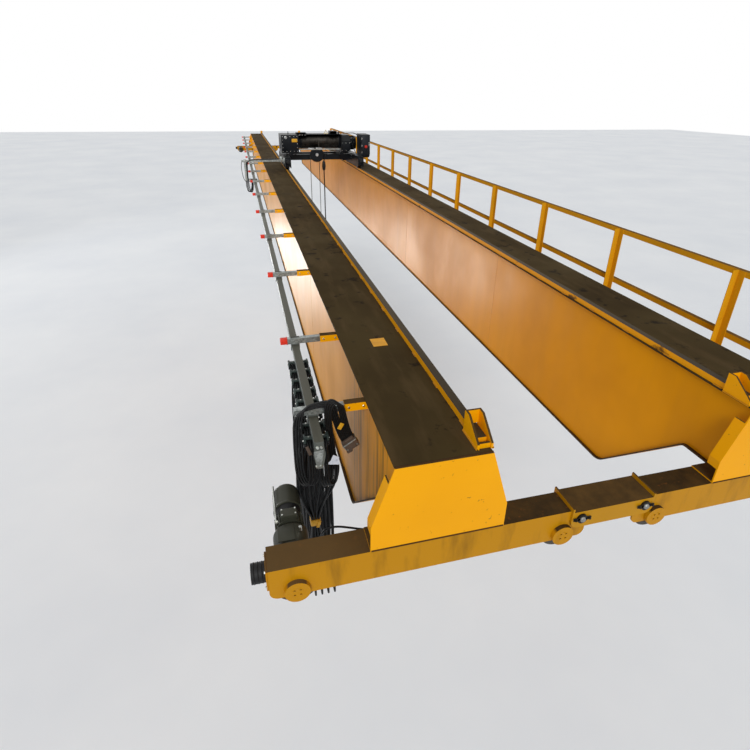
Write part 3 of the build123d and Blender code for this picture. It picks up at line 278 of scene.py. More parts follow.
def satin_enamel(name, colour, edge, dust="#3A3A37", roughness=0.42, gloss=0.2):
    """Enamel on castings and covers: satin, with fine orange peel and grey dust where it faces up."""
    finish, tree, place = surface(name, colour, roughness, gloss=gloss)
    tone = tint(tree, patches(tree, place, 0.25, 0.4, 0.75), colour, edge)
    lying = scaled(tree, upward(tree), 0.3)
    feed(tree, "Base Color", tint(tree, lying, tone, dust))
    grain(tree, place, 0.003, 0.00012)
    return finish


def zinc_coat(name="hot_dip_zinc", dust_and_shade=0.9):
    """Hot dip galvanised steel: bright crystals about 12 mm across, under brown dust where it faces up, made
    dark partly as painted shade.
    """
    finish, tree, place = surface(name, "#9A9E9C", 0.4, 0.75, gloss=0.2)
    crystals = add(tree, "TexVoronoi", {"Vector": place, "Scale": 1 / 0.012})
    shade = add(tree, "SeparateColor", {0: crystals.outputs["Color"]}).outputs[0]
    tone = tint(tree, shade, "#868B88", "#BBC0BD")
    tone = tint(tree, patches(tree, place, 0.15, 0.5, 0.75), tone, "#77756C")
    # Dark tone on upward faces: partly dust, partly painted shade.
    dust = scaled(tree, upward(tree), dust_and_shade)
    feed(tree, "Base Color", tint(tree, dust, tone, "#3A3730"))
    for socket, low, high in (("Metallic", 0.75, 0.05), ("Roughness", 0.38, 0.85)):
        changed = between(tree, dust, low, high)
        feed(tree, socket, changed)
    return finish


def track_zinc():
    """Rolled strip with an old zinc coat: olive grey and dull on top, a little brighter down its sides."""
    finish, tree, place = surface("rolled_zinc_strip", "#5A5A4E", 0.5, 0.35, gloss=0.2)
    streak = patches(tree, place, 0.1, 0.4, 0.7, (1, 0.1, 1))
    top = tint(tree, streak, "#4E4C42", "#5E5D52")
    side = tint(tree, streak, "#6A6E69", "#565A55")
    feed(tree, "Base Color", tint(tree, upward(tree), side, top))
    return finish


def bright_steel(name, colour, roughness, smeared="#5E5A52"):
    """Turned, drawn or plated steel under a film of oil: bright metal with darker smears."""
    finish, tree, place = surface(name, colour, roughness, 1.0)
    smear = patches(tree, place, 0.06, 0.45, 0.75)
    feed(tree, "Base Color", tint(tree, smear, colour, smeared))
    gloss = between(tree, smear, roughness, roughness + 0.2)
    feed(tree, "Roughness", gloss)
    return finish


def forged_steel():
    """Forged wheel: rough dark faces with rust bloom."""
    finish, tree, place = surface("forged_wheel_steel", "#4A4641", 0.55, 0.8)
    bloom = patches(tree, place, 0.04, 0.5, 0.7)
    feed(tree, "Base Color", tint(tree, bloom, "#55514B", "#5A3B24"))
    grain(tree, place, 0.006, 0.0003)
    return finish


def soft_plastic(name, colour, other, roughness=0.5, size=0.02, gloss=0.3):
    """Moulded plastic or rubber: even colour, slightly scuffed, with a fine moulded grain."""
    finish, tree, place = surface(name, colour, roughness, gloss=gloss)
    scuffs = patches(tree, place, size, 0.55, 0.75)
    feed(tree, "Base Color", tint(tree, scuffs, colour, other))
    grain(tree, place, 0.0025, 0.0001)
    return finish


def chequer_plate():
    """Rolled chequer plate, painted and trodden: lozenges drawn about 60 mm apart so that they show."""
    finish, tree, place = surface("chequer_plate_enamel", "#D9980E", 0.5, gloss=0.15)
    axes = add(tree, "SeparateXYZ", {0: place}).outputs
    waves = []
    for sign in (1, -1):
        along = add(tree, "Math", {0: axes[0], 1: scaled(tree, axes[1], sign)}, operation="ADD").outputs[0]
        phase = scaled(tree, along, 2 * math.pi / 0.085)
        waves.append(add(tree, "Math", {0: phase}, operation="SINE").outputs[0])
    lozenge = beyond(tree, scaled(tree, waves[0], waves[1]), 0.35, 0.7)
    trodden = patches(tree, place, 0.4, 0.35, 0.6, (1, 0.5, 1))
    tone = tint(tree, trodden, "#A8792A", "#5A4422")
    feed(tree, "Base Color", tint(tree, lozenge, tone, "#B89862"))
    relief(tree, lozenge, 0.002)
    return finish


def wire_strands():
    """Greased steel wire rope: strands in slanting bands, dark between the strands as painted shade, drawn
    12 mm apart so that they show.
    """
    finish, tree, place = surface("greased_wire", "#4B4944", 0.42, 0.85)
    strands = add(tree, "TexWave", {"Vector": place, "Scale": 26.0}, bands_direction="DIAGONAL").outputs[1]
    # Dark between the strands: painted shade in the grooves.
    tone = tint(tree, strands, "#201F1C", "#77746C")
    grease = patches(tree, place, 0.03, 0.4, 0.7)
    feed(tree, "Base Color", tint(tree, scaled(tree, grease, 0.6), tone, "#26241F"))
    relief(tree, strands, 0.001)
    return finish


def finishes():
    """Every finish by its short name."""
    return {
        "yellow": yellow_enamel(), "web": web_enamel(), "bottom": bottom_plate_enamel(),
        # The truck finish is darkened as painted shade; it also goes on the axle ends, axle bolts and buffer
        # flanges.
        "truck": truck_enamel_painted_shade(),
        "front": yellow_enamel("end_plate_enamel", "#F0A600", "#E89E00"),
        "handrail": yellow_enamel("handrail_enamel", "#D89A14", "#C48C14", ("#7E5A22", "#64471E")),
        # The link beams' yellow is darkened as painted shade.
        "link": yellow_enamel("link_beam_enamel_painted_shade", "#BC860C", "#AA780C"),
        "primer": shop_primer(), "rail": painted_rail(), "chequer": chequer_plate(),
        "black": satin_enamel("satin_black_enamel", "#0A0D11", "#151A1F", roughness=0.36, gloss=0.15),
        "cabinet": satin_enamel("cabinet_powder_coat", "#12151A", "#1D2127", roughness=0.45, gloss=0.2),
        "drive": satin_enamel("olive_grey_enamel", "#38392F", "#2B2D25", "#4A483E"),
        "zinc": zinc_coat(), "new_zinc": zinc_coat("new_zinc_coat", 0.1), "track": track_zinc(),
        "steel": bright_steel("turned_steel", "#9C9C98", 0.32),
        "bolt": bright_steel("zinc_plated_bolt", "#D6D8D2", 0.25),
        "silver": bright_steel("cast_aluminium_cover", "#C2C5C5", 0.35),
        "oiled": bright_steel("blackened_pin_steel", "#3A3733", 0.45, "#1E1C19"),
        "wheel": forged_steel(), "wire": wire_strands(),
        "red": soft_plastic("red_polythene_cap", "#D9341F", "#A82818"),
        "rubber": soft_plastic("moulded_rubber", "#0E0E0F", "#1E1E1E", 0.6),
        # The carriages' grey green is darkened as painted shade.
        "moulding": soft_plastic("grey_green_moulding_painted_shade", "#2E3835", "#1F2523"),
        "brown": soft_plastic("brown_connector_hood", "#52443A", "#3A2E26"),
        "tape": soft_plastic("yellow_pvc_tape", "#D09A20", "#A67A1C", 0.4),
        "card": soft_plastic("white_card", "#CDD2DC", "#AEB4C0", 0.7),
        "cream": soft_plastic("cream_enamelled_strip", "#C9B98A", "#A8946A", 0.5),
        "sheath": soft_plastic("neoprene_sheath", "#0A0B0C", "#1C1C1B", 0.45, 0.05, 0.25),
        "button": soft_plastic("red_button_cover", "#C02A1C", "#8A1C14", 0.2),
        "weld": satin_enamel("painted_weld", "#D8900A", "#B07410", "#4A3820", gloss=0.12),
        # Dark seam finish, partly a painted shadow line.
        "seam": satin_enamel("rusty_seam_and_shadow_line", "#4A2F16", "#2E200F", "#2E200F", 0.7, 0.1),
    }


# Shapes

def toward(point, way):
    """Matrix that carries a shape made upright at the origin to a point, pointing along a way."""
    turn = Vector(UP).rotation_difference(Vector(way)).to_matrix().to_4x4()
    return Matrix.Translation(point) @ turn


def slab(shape, low, high, edge=0.0, turn=None):
    """Box between two corners with its edges rounded, turned about its middle where a turn is given."""
    sizes = [b - a for a, b in zip(low, high)]
    middle = Vector([(a + b) / 2 for a, b in zip(low, high)])
    matrix = Matrix.Translation(middle) @ (turn or Matrix()) @ Matrix.Diagonal((*sizes, 1))
    made = bmesh.ops.create_cube(shape, size=1, matrix=matrix)
    if edge:
        edges = list({side for vert in made["verts"] for side in vert.link_edges})
        bmesh.ops.bevel(shape, geom=edges, offset=edge, segments=2, affect="EDGES", profile=0.5, material=-1)


def block(shape, middle, half, edge=0.0, turn=None):
    """Box with rounded edges, given by its middle and half sizes."""
    low = [a - b for a, b in zip(middle, half)]
    high = [a + b for a, b in zip(middle, half)]
    slab(shape, low, high, edge, turn)


def rod(shape, start, end, radius, sides=16):
    """Round bar between two points."""
    start, end = Vector(start), Vector(end)
    way = end - start
    bmesh.ops.create_cone(shape, segments=sides, radius1=radius, radius2=radius, depth=way.length,
                          cap_ends=True, matrix=toward((start + end) / 2, way))


def prism(shape, points, way):
    """Flat outline pushed along a way."""
    face = shape.faces.new([shape.verts.new(point) for point in points])
    moved = bmesh.ops.extrude_face_region(shape, geom=[face], use_keep_orig=True)["geom"]
    verts = [item for item in moved if isinstance(item, bmesh.types.BMVert)]
    bmesh.ops.translate(shape, verts=verts, vec=way)


def lathe(shape, profile, point, way, steps=32):
    """Profile of (radius, height) pairs, turned round an axis and carried to its place."""
    before = set(shape.verts)
    verts = [shape.verts.new((radius, 0, height)) for radius, height in profile]
    edges = [shape.edges.new(pair) for pair in zip(verts, verts[1:])]
    bmesh.ops.spin(shape, geom=verts + edges, cent=(0, 0, 0), axis=UP, angle=2 * math.pi, steps=steps,
                   use_merge=True)
    fresh = [vert for vert in shape.verts if vert not in before]
    bmesh.ops.transform(shape, matrix=toward(point, way), verts=fresh)


def bolt(shape, point, way, size):
    """Hexagon head on a washer."""
    way = Vector(way).normalized()
    point = Vector(point)
    washer = point + way * size * 0.18
    rod(shape, point, washer, size * 1.05, 12)
    rod(shape, washer, washer + way * size * 0.65, size * 0.88, 6)


def bolts_at(shape, xs, ys, zs, way, size):
    """A bolt at every meeting of the places along X, Y and Z."""
    for spot in itertools.product(xs, ys, zs):
        bolt(shape, spot, way, size)


def around(count, radius, point, across, up, start=0.0):
    """Points evenly round a circle that lies between two ways."""
    point, across, up = Vector(point), Vector(across), Vector(up)
    angles = [start + 2 * math.pi * number / count for number in range(count)]
    return [point + across * radius * math.cos(angle) + up * radius * math.sin(angle) for angle in angles]


def fins(shape, count, radius, middle, half, axis, start=0.0):
    """Cooling fins that stand out all round a motor lying along X or Y."""
    across, sense = ((0, 1, 0), 1) if axis == "X" else (RIGHT, -1)
    for number, point in enumerate(around(count, radius, middle, across, UP, start)):
        turn = start + 2 * math.pi * number / count
        block(shape, point, half, 0, Matrix.Rotation(sense * turn, 4, axis))


def piece(name, shape, finish, body="bridge", smooth=35):
    """Makes the shape an object that rides on a body."""
    bmesh.ops.remove_doubles(shape, verts=shape.verts, dist=1e-6)
    bmesh.ops.recalc_face_normals(shape, faces=shape.faces)
    mesh = bpy.data.meshes.new(name)
    shape.to_mesh(mesh)
    shape.free()
    mesh.shade_smooth()
    mesh.set_sharp_from_angle(angle=math.radians(smooth))
    mesh.materials.append(finish)
    made = bpy.data.objects.new(name, mesh)
    bpy.context.scene.collection.objects.link(made)
    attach(made, body)
    return made


def pipe(name, points, radius, finish, body):
    """Fixed cable or bent tube along a smooth line through its control points."""
    curve = bpy.data.curves.new(name, "CURVE")
    curve.dimensions = "3D"
    curve.bevel_depth = radius
    curve.bevel_resolution = 3
    curve.resolution_u = 6
    curve.use_fill_caps = True
    line = curve.splines.new("NURBS")
    line.points.add(len(points) - 1)
    for spot, point in zip(line.points, points):
        spot.co = (*point, 1)
    line.order_u = 3
    line.use_endpoint_u = True
    curve.materials.append(finish)
    made = bpy.data.objects.new(name, curve)
    bpy.context.scene.collection.objects.link(made)
    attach(made, body)
    return made


def curve_length(made):
    """Length of a curve's own line."""
    graph = bpy.context.evaluated_depsgraph_get()
    bare = made.data.copy()
    bare.bevel_depth = 0
    holder = bpy.data.objects.new("measure", bare)
    bpy.context.scene.collection.objects.link(holder)
    graph.update()
    line = bpy.data.meshes.new_from_object(holder.evaluated_get(graph))
    spots = [vert.co for vert in line.vertices]
    total = sum((b - a).length for a, b in zip(spots, spots[1:]))
    bpy.data.objects.remove(holder)
    bpy.data.curves.remove(bare)
    bpy.data.meshes.remove(line)
    return total


# Camera, light and floor

def photo_camera():
    """Camera where the photographer stood, above the near end of the left girder."""
    lens = bpy.data.cameras.new("photo_camera")
    lens.sensor_width = 36
    lens.lens = 24.02
    lens.shift_y = -0.0547
    lens.clip_end = 500
    camera = bpy.data.objects.new("photo_camera", lens)
    heading = Matrix.Rotation(math.radians(-14.58), 4, "Z")
    tilt = Matrix.Rotation(math.radians(90 - 25.405), 4, "X")
    roll = Matrix.Rotation(math.radians(0.696), 4, "Z")
    camera.matrix_world = Matrix.Translation((-1.847, -13.058, 2.300)) @ heading @ tilt @ roll
    bpy.context.scene.collection.objects.link(camera)
    bpy.context.scene.camera = camera


def lamp(name, kind, point, target, power, **settings):
    """Lamp at a point, aimed at a target and hidden from the camera."""
    light = bpy.data.lights.new(name, kind)
    light.energy = power
    for key, value in settings.items():
        setattr(light, key, value)
    made = bpy.data.objects.new(name, light)
    way = Vector(target) - Vector(point)
    made.matrix_world = Matrix.Translation(point) @ way.to_track_quat("-Z", "Y").to_matrix().to_4x4()
    made.visible_camera = False
    bpy.context.scene.collection.objects.link(made)
    return made


def hall_light():
    """Soft light from high up behind the camera, windows far off to the left and a sunlit strip of floor."""
    lamp("near_windows", "SUN", (-2.5, -8.0, 5.5), (0, 0, 0), 1.9, angle=math.radians(25))
    lamp("left_windows", "AREA", (-24, 14, 3), (0, 2, 0), 700, shape="RECTANGLE", size=40, size_y=8)
    strip = lamp("sunlit_floor", "AREA", (-10, 19, FLOOR + 0.1), (-10, 19.01, 0), 5600, shape="RECTANGLE",
                 size=4, size_y=18)
    strip.visible_diffuse = False
    world = bpy.data.worlds.new("hall")
    bpy.context.scene.world = world
    world.use_nodes = True
    tree = world.node_tree
    light = tree.nodes["Background"]
    light.inputs[0].default_value = linear("#EEF1F4")
    light.inputs[1].default_value = 0.5
    shown = add(tree, "Background", {0: linear("#FFFFFF"), 1: 1.0})
    path = add(tree, "LightPath")
    seen = path.outputs["Is Camera Ray"]
    for way in ("Is Glossy Ray", "Is Transmission Ray"):
        seen = add(tree, "Math", {0: seen, 1: path.outputs[way]}, operation="MAXIMUM").outputs[0]
    mix = add(tree, "MixShader", {0: seen, 1: light.outputs[0], 2: shown.outputs[0]})
    tree.links.new(mix.outputs[0], tree.nodes["World Output"].inputs[0])
    bpy.context.scene.view_settings.view_transform = "Standard"


def hall_floor():
    """Pale floor below the crane, and nothing else."""
    mesh = bpy.data.meshes.new("floor")
    shape = bmesh.new()
    bmesh.ops.create_grid(shape, size=150, matrix=Matrix.Translation((0, 0, FLOOR)))
    shape.to_mesh(mesh)
    shape.free()
    finish, tree, place = surface("pale_floor", "#F2F3F5", 0.85)
    cloud = patches(tree, place, 6.0, 0.3, 0.7)
    feed(tree, "Base Color", tint(tree, cloud, "#F4F5F6", "#EBEDF0"))
    mesh.materials.append(finish)
    floor = bpy.data.objects.new("floor", mesh)
    bpy.context.scene.collection.objects.link(floor)


# Parked festoon cables

# Where the tape ties them, their lanes across the carriages, and the radii of the single cables
TIE = (-1.612, -10.745, -0.066)
LANES = (-3.5, -2.5, -1.5, -0.5, 0.5, 1.5, 2.5, 3.5)
LANE_PITCH = 0.0142
CABLE = 0.0125
SADDLE_TOP = 0.592
SADDLE_REACH = 0.054
THIN_CABLE = 0.006
TOW_CABLE = 0.0075
HOIST_CABLE = 0.008
HANGING_CABLE = 0.013
CARD_FACE = -10.8745
BEND = 0.036
HOOD = (-1.3855, -10.7525, 0.485)
HOOD_LEAN = Matrix.Rotation(math.radians(-32), 4, "Y")


def over_saddle(lane, gap, side):
    """A cable's points on and below a carriage's saddle, set apart for a bend of two diameters."""
    x = TRACK_X + lane * LANE_PITCH
    y = gap + side * (CARRIAGE_PITCH / 2 - SADDLE_REACH)
    return [(x, y, SADDLE_TOP), (x, y, SADDLE_TOP - 2 * BEND)]


def tied_leg(side, lane, gap):
    """One leg of the first loop, drawn in to the tape, where four rows of four lie, and free below it."""
    place = int(lane * 2 + 7) + (side > 0)
    tight = TIE[0] + (place // 4 - 1.5) * CABLE
    tie_y = TIE[1] + (place % 4 - 1.5) * CABLE
    wide = TRACK_X + 0.010 + lane * 0.033 + side * 0.008
    low = TIE[0] + 0.010 + lane * 0.012
    drop = TIE[2] - 0.43 - 0.05 * (int(lane * 2) % 4)
    return over_saddle(lane, gap, side) + [
        (wide, gap + side * 0.010, 0.40),
        (wide, gap + side * 0.014, 0.22),
        (tight + lane * 0.012, tie_y, 0.07),
        (tight, tie_y, TIE[2] + 0.040),
        (tight, tie_y, TIE[2] - 0.040),
        (low, TIE[1] + side * 0.020, TIE[2] - 0.20),
        (low, TIE[1] + side * BEND, drop + 2 * BEND),
        (low, TIE[1] + side * BEND, drop),
    ]


def hanging_leg(side, number, lane, gap):
    """One leg of a loop that hangs straight down between its two carriages."""
    sway = 0.012 * math.sin(5 * number + 3 * lane)
    x = TRACK_X + 0.018 + lane * 0.024
    drop = -0.79 - 0.045 * ((number * 3 + int(lane * 2)) % 4)
    return over_saddle(lane, gap, side) + [
        (x + side * 0.006 + sway, gap + side * 0.013, 0.30),
        (x + sway, gap + side * 0.022, -0.10),
        (x - sway, gap + side * 0.031, -0.55),
        (x - sway, gap + side * BEND, drop + 2 * BEND),
        (x - sway, gap + side * BEND, drop),
    ]


def loop_points(number, lane):
    """Control points down one leg of a loop and up the other; the two lowest make its round bottom."""
    gap = (CARRIAGE_PLACES[number] + CARRIAGE_PLACES[number + 1]) / 2
    if number == 0:
        down, up = (tied_leg(side, lane, gap) for side in (-1, 1))
    else:
        down, up = (hanging_leg(side, number, lane, gap) for side in (-1, 1))
    return down + up[::-1]


def tail_points(lane):
    """From the connector up and over: half the cables cross the track's top, half come down beside it."""
    x, y, z = HOOD
    off = lane * 0.0105
    across = TRACK_X + lane * LANE_PITCH
    rise = [(x - 0.008 + off, y, z + 0.015), (x - 0.035 + off, y, z + 0.070), (x - 0.060 + off, y, 0.66)]
    if lane < 0:
        beside = across - 2 * BEND
        top = 0.795 + off
        over = [(x - 0.090 + off, y, top), (x - 0.172 + off, y, top),
                (beside + 0.012, y - 0.012, top - 0.020), (beside, y - 0.050, 0.58),
                (beside, y - 0.100, 0.33)]
    else:
        beside = across + 2 * BEND
        top = 0.80 - off
        over = [(x - 0.077 + off, y, top), (x - 0.155 + off, y, top), (x - 0.140 + off, y - 0.020, 0.52),
                (beside, y - 0.075, 0.30)]
    near = CARRIAGE_PLACES[0] - SADDLE_REACH
    return rise + over + [(across, y - 0.135, over[-1][2]), (across, near, SADDLE_TOP - 2 * BEND),
                          (across, near, SADDLE_TOP)]


def plug_hood(finish):
    """Brown hood that holds the parked cables' ends, hanging askew, with its collar and bright clamp."""
    shape = bmesh.new()
    slab(shape, (-0.0425, -0.025, -0.030), (0.0425, 0.025, 0.030), 0.007)
    slab(shape, (-0.037, -0.021, 0.027), (0.037, 0.021, 0.046), 0.006)
    slab(shape, (-0.050, -0.018, -0.046), (-0.014, 0.018, -0.028), 0.005)
    bmesh.ops.transform(shape, matrix=Matrix.Translation(HOOD) @ HOOD_LEAN, verts=shape.verts)
    hood = piece("cable_plug_hood", shape, finish["brown"])
    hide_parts("cable_connector")
    shape = bmesh.new()
    slab(shape, (-0.0455, -0.028, 0.018), (0.0455, 0.028, 0.027), 0.003)
    slab(shape, (-0.047, -0.012, -0.024), (-0.042, 0.012, 0.022), 0.002)
    for side in (-1, 1):
        bolt(shape, (side * 0.032, -0.025, -0.012), NEAR, 0.005)
    bmesh.ops.transform(shape, matrix=Matrix.Translation(HOOD) @ HOOD_LEAN, verts=shape.verts)
    return [hood, piece("cable_plug_clamp", shape, finish["zinc"])]


def festoon_cables(finish):
    """Cables from the connector over each parked carriage, in long loops."""
    plug = plug_hood(finish)
    for place, lane in enumerate(LANES, 1):
        points = tail_points(lane)
        for number in range(len(CARRIAGE_PLACES) - 1):
            points += loop_points(number, lane)
        points.append((TRACK_X + lane * LANE_PITCH, CARRIAGE_PLACES[-1] + 0.03, SADDLE_TOP))
        cable = pipe(f"festoon_cable_{place}", points, CABLE / 2, finish["sheath"], "bridge")
        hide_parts("cable_bundle")
        round(curve_length(cable), 2)


def carriage_parts(body, pads, fixings, y):
    """One cable carriage: runner wheels in the track, cheeks, an arched saddle and its clamp below."""
    for side in (-1, 1):
        block(body, (TRACK_X + side * 0.063, y, 0.591), (0.007, 0.030, 0.021), 0.004)
    block(body, (TRACK_X, y, 0.564), (0.064, 0.038, 0.016), 0.014)
    block(body, (TRACK_X, y, 0.6055), (0.007, 0.018, 0.0305), 0.002)
    block(body, (TRACK_X, y, 0.6065), (0.066, 0.012, 0.0065), 0.003)
    wheel = [(0.0, 0.007), (0.012, 0.007), (0.0135, 0.0), (0.0, 0.0)]
    for side in (-1, 1):
        for way in (-1, 1):
            lathe(pads, wheel, (TRACK_X + side * 0.009, y + way * 0.020, 0.6425), (side, 0, 0), 14)
        block(pads, (TRACK_X + side * 0.063, y - 0.036, 0.583), (0.008, 0.008, 0.009), 0.004)
        bolt(fixings, (TRACK_X + side * 0.040, y, 0.613), UP, 0.005)
        bolt(fixings, (TRACK_X + side * 0.070, y, 0.591), (side, 0, 0), 0.005)


def cable_carriages(finish):
    """The eight parked carriages, and the one that the trolley's arm pulls."""
    for name, places, body, node in (("parked_carriage", CARRIAGE_PLACES, "bridge", "cable_carriages"),
                                     ("towed_carriage", [TOW_Y], "trolley", "tow_carriage")):
        moulding, pads, fixings = bmesh.new(), bmesh.new(), bmesh.new()
        for y in places:
            carriage_parts(moulding, pads, fixings, y)
        if body == "trolley":
            block(moulding, (TRACK_X, TOW_Y, 0.573), (0.060, 0.075, 0.017), 0.008)
        # The carriage bodies take the moulding finish, darkened as painted shade.
        made = piece(name + "_bodies", moulding, finish["moulding"], body)
        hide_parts(node)
        piece(name + "_wheels", pads, finish["rubber"], body)
        piece(name + "_bolts", fixings, finish["bolt"], body)


def track_ends(finish):
    """Bright plates with their bolts that close the track at both ends."""
    plates, bolts = bmesh.new(), bmesh.new()
    outline = [(-0.030, 0.616), (0.020, 0.622), (0.020, 0.600), (0.004, 0.508), (-0.018, 0.508)]
    for end in (-1, 1):
        face = end * TRACK_END
        prism(plates, [(TRACK_X + x, face, z) for x, z in outline], (0, end * 0.003, 0))
        for x, z in ((-0.010, 0.640), (0.011, 0.639), (-0.018, 0.517), (0.004, 0.515)):
            bolt(bolts, (TRACK_X + x, face, z), (0, end, 0), 0.0085)
    piece("track_end_plates", plates, finish["new_zinc"])
    piece("track_end_bolts", bolts, finish["bolt"])


def bundle_fittings(finish):
    """Tape round the first loop, and the tag, strap, card and thin cable at the parked cables."""
    tape = bmesh.new()
    block(tape, TIE, (0.0315, 0.0315, 0.024), 0.008)
    loose_end = (TIE[0] + 0.017, TIE[1] - 0.0335, TIE[2] - 0.007)
    block(tape, loose_end, (0.009, 0.0025, 0.025), turn=Matrix.Rotation(0.3, 4, "Y"))
    piece("bundle_tape", tape, finish["tape"])
    for name, middle, half, turn, kind, slot in (
            ("cable_tag", (-1.443, -10.7605, 0.617), (0.012, 0.0025, 0.021), 0.5,
             "tape", "carriage_plastic"),
            ("cable_strap", (-1.640, -10.873, 0.567), (0.009, 0.003, 0.030), -0.3,
             "brown", "brown_plastic")):
        shape = bmesh.new()
        block(shape, middle, half, 0.001, Matrix.Rotation(turn, 4, "Y"))
        piece(name, shape, finish[kind])
    card = bmesh.new()
    outline = [(-1.547, 0.458), (-1.477, 0.444), (-1.476, 0.496), (-1.508, 0.516), (-1.523, 0.479)]
    prism(card, [(x, CARD_FACE, z) for x, z in outline], (0, 0.0015, 0))
    piece("cable_card", card, finish["card"])
    pipe("thin_cable", [(-1.61, -10.80, -0.60), (-1.62, -10.90, -0.20), (-1.620, -10.99, 0.03),
                        (-1.595, -11.01, 0.12), (-1.53, -11.01, 0.13), (-1.45, -11.01, 0.10),
                        (-1.37, -11.02, 0.075), (-1.272, -11.06, 0.09)],
         THIN_CABLE, finish["sheath"], "bridge")


# Girders, trucks and drives

def bead(shape, start, end, radius=0.006):
    """Weld bead between two points."""
    rod(shape, start, end, radius, 6)


def girder_welds(finish):
    """Fillet beads along the flanges and round the end boxes, and butt seams across the webs; the dark beads
    round the end boxes are rusty seams and also painted shadow lines.
    """
    beads, seams = bmesh.new(), bmesh.new()
    for side in (-1, 1):
        for way in (-1, 1):
            x = side * GIRDER_X + way * WEB_OUT
            for z, reach in ((FLANGE_TOP - 0.014, 11.0), (GIRDER_BOTTOM + 0.014, 9.9)):
                bead(beads, (x, -reach, z), (x, reach, z))
            butt = x - way * 0.003
            for y in (-8.2, -4.9, 1.6, 7.4):
                bead(beads, (butt, y, GIRDER_BOTTOM + 0.02), (butt, y, FLANGE_TOP - 0.02), 0.005)
        for end in (-1, 1):
            x = side * GIRDER_X
            # Dark beads round the end boxes: rusty seam, and painted shadow line under the plates' edges.
            for half, inset, z, radius in ((0.36, 0.002, TRUCK_TOP + 0.002, 0.006),
                                           (FLANGE_HALF, 0.012, FLANGE_TOP, 0.004)):
                y = end * (GIRDER_END - inset)
                bead(seams, (x - half, y, z), (x + half, y, z), radius)
    piece("girder_weld_beads", beads, finish["weld"])
    piece("end_box_seams_and_shadow_lines", seams, finish["seam"])


def rail_stitches(finish):
    """Short fillet welds that hold the trolley rails to the flanges, on both of their sides."""
    shape = bmesh.new()
    first, pitch, count, length = -11.1, 0.4, 56, 0.06
    z = FLANGE_TOP + 0.002
    for side in (-1, 1):
        for number in range(count):
            y = first + pitch * number
            for way in (-1, 1):
                x = side * RAIL_X + way * 0.025
                bead(shape, (x, y, z), (x, y + length, z), 0.007)
    piece("rail_stitch_welds", shape, finish["weld"])


def paint_patch(finish):
    """Oblong touched up in yellow on the left girder's top plate, a paint film thick."""
    shape = bmesh.new()
    slab(shape, (-1.084, -10.095, FLANGE_TOP), (-0.982, -9.975, FLANGE_TOP + 0.0012))
    made, tree, place = surface("touch_up_enamel", "#DE9A0C", 0.5, gloss=0.3)
    brushed = patches(tree, place, 0.02, 0.4, 0.7, (0.2, 1, 1))
    feed(tree, "Base Color", tint(tree, brushed, "#E09C0C", "#C4860E"))
    relief(tree, brushed, 0.0004)
    piece("touched_up_patch", shape, made)


def stop_fittings(finish):
    """Fillet beads along the feet of the four rail end stops."""
    beads = bmesh.new()
    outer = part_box("rail_end_stops")[1][1]
    z = FLANGE_TOP + 0.002
    for x, end, side in itertools.product((-RAIL_X, RAIL_X), (-1, 1), (-1, 1)):
        foot = x + side * 0.043
        bead(beads, (foot, end * outer, z), (foot, end * (outer - 0.170), z))
    piece("rail_stop_welds", beads, finish["weld"])


def truck_fittings(finish):
    """Axle ends on the faces of the end trucks where no drive sits, with retaining rings and cap bolts."""
    turned, bolts = bmesh.new(), bmesh.new()
    profile = [(0.0, 0.003), (0.007, 0.003), (0.009, 0.011), (0.030, 0.012), (0.035, 0.008), (0.037, 0.0)]
    ring = [(0.044, 0.0), (0.046, 0.004), (0.053, 0.004), (0.055, 0.0)]
    for x, end in itertools.product(WHEEL_X, (-1, 1)):
        faces = [(end * TRUCK_FACE, end)]
        if x not in (WHEEL_X[0], WHEEL_X[3]):
            faces.append((end * (2 * RUNWAY_Y - TRUCK_FACE), -end))
        for face, way in faces:
            for outline in (profile, ring):
                lathe(turned, outline, (x, face, AXLE_Z), (0, way, 0), 28)
            for point in around(4, 0.022, (x, face + way * 0.011, AXLE_Z), RIGHT, UP, math.pi / 4):
                bolt(bolts, point, (0, way, 0), 0.006)
    # Painted in the truck finish, whose darker yellow is painted shade.
    piece("axle_ends", turned, finish["truck"])
    piece("axle_bolts", bolts, finish["truck"])


def pin_keepers(finish):
    """Keeper plate with two bolts at the end of each link pin, and the pin's bright greasing plug."""
    plates, plugs = bmesh.new(), bmesh.new()
    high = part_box("link_pins")[1]
    middle = high[2] - 0.030
    profile = [(0.0, 0.010), (0.014, 0.009), (0.017, 0.005), (0.018, 0.0)]
    for x, end in itertools.product((-PIN_X, PIN_X), (-1, 1)):
        face = end * high[1]
        block(plates, (x, face - end * 0.003, middle), (0.055, 0.003, 0.010), 0.002)
        bolts_at(plates, (x - 0.043, x + 0.043), (face,), (middle,), (0, end, 0), 0.008)
        lathe(plugs, profile, (x, face, middle), (0, end, 0), 20)
    piece("pin_keeper_plates", plates, finish["oiled"])
    piece("pin_centre_plugs", plugs, finish["steel"])


def buffer_plates(finish):
    """Flange of each buffer with its four bolts, and the ribs moulded round its rubber."""
    plates, bolts, rubber = bmesh.new(), bmesh.new(), bmesh.new()
    low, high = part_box("buffers")
    z = (low[2] + high[2]) / 2
    root = high[0] - 0.08
    thick, reach = 0.01, 0.052
    for side, end in itertools.product((-1, 1), (-1, 1)):
        y = end * RUNWAY_Y
        block(plates, (side * (root + thick / 2), y, z), (thick / 2, 0.065, 0.065), 0.003)
        bolts_at(bolts, (side * (root + thick),), (y - reach, y + reach), (z - reach, z + reach),
                 (side, 0, 0), 0.007)
        for step in (0.025, 0.045, 0.065):
            lathe(rubber, [(0.049, -0.004), (0.053, 0.0), (0.049, 0.004)], (side * (root + step), y, z),
                  (side, 0, 0), 28)
    # Painted in the truck finish, whose darker yellow is painted shade.
    piece("buffer_flanges", plates, finish["truck"])
    piece("buffer_bolts", bolts, finish["bolt"])
    piece("buffer_ribs", rubber, finish["rubber"])


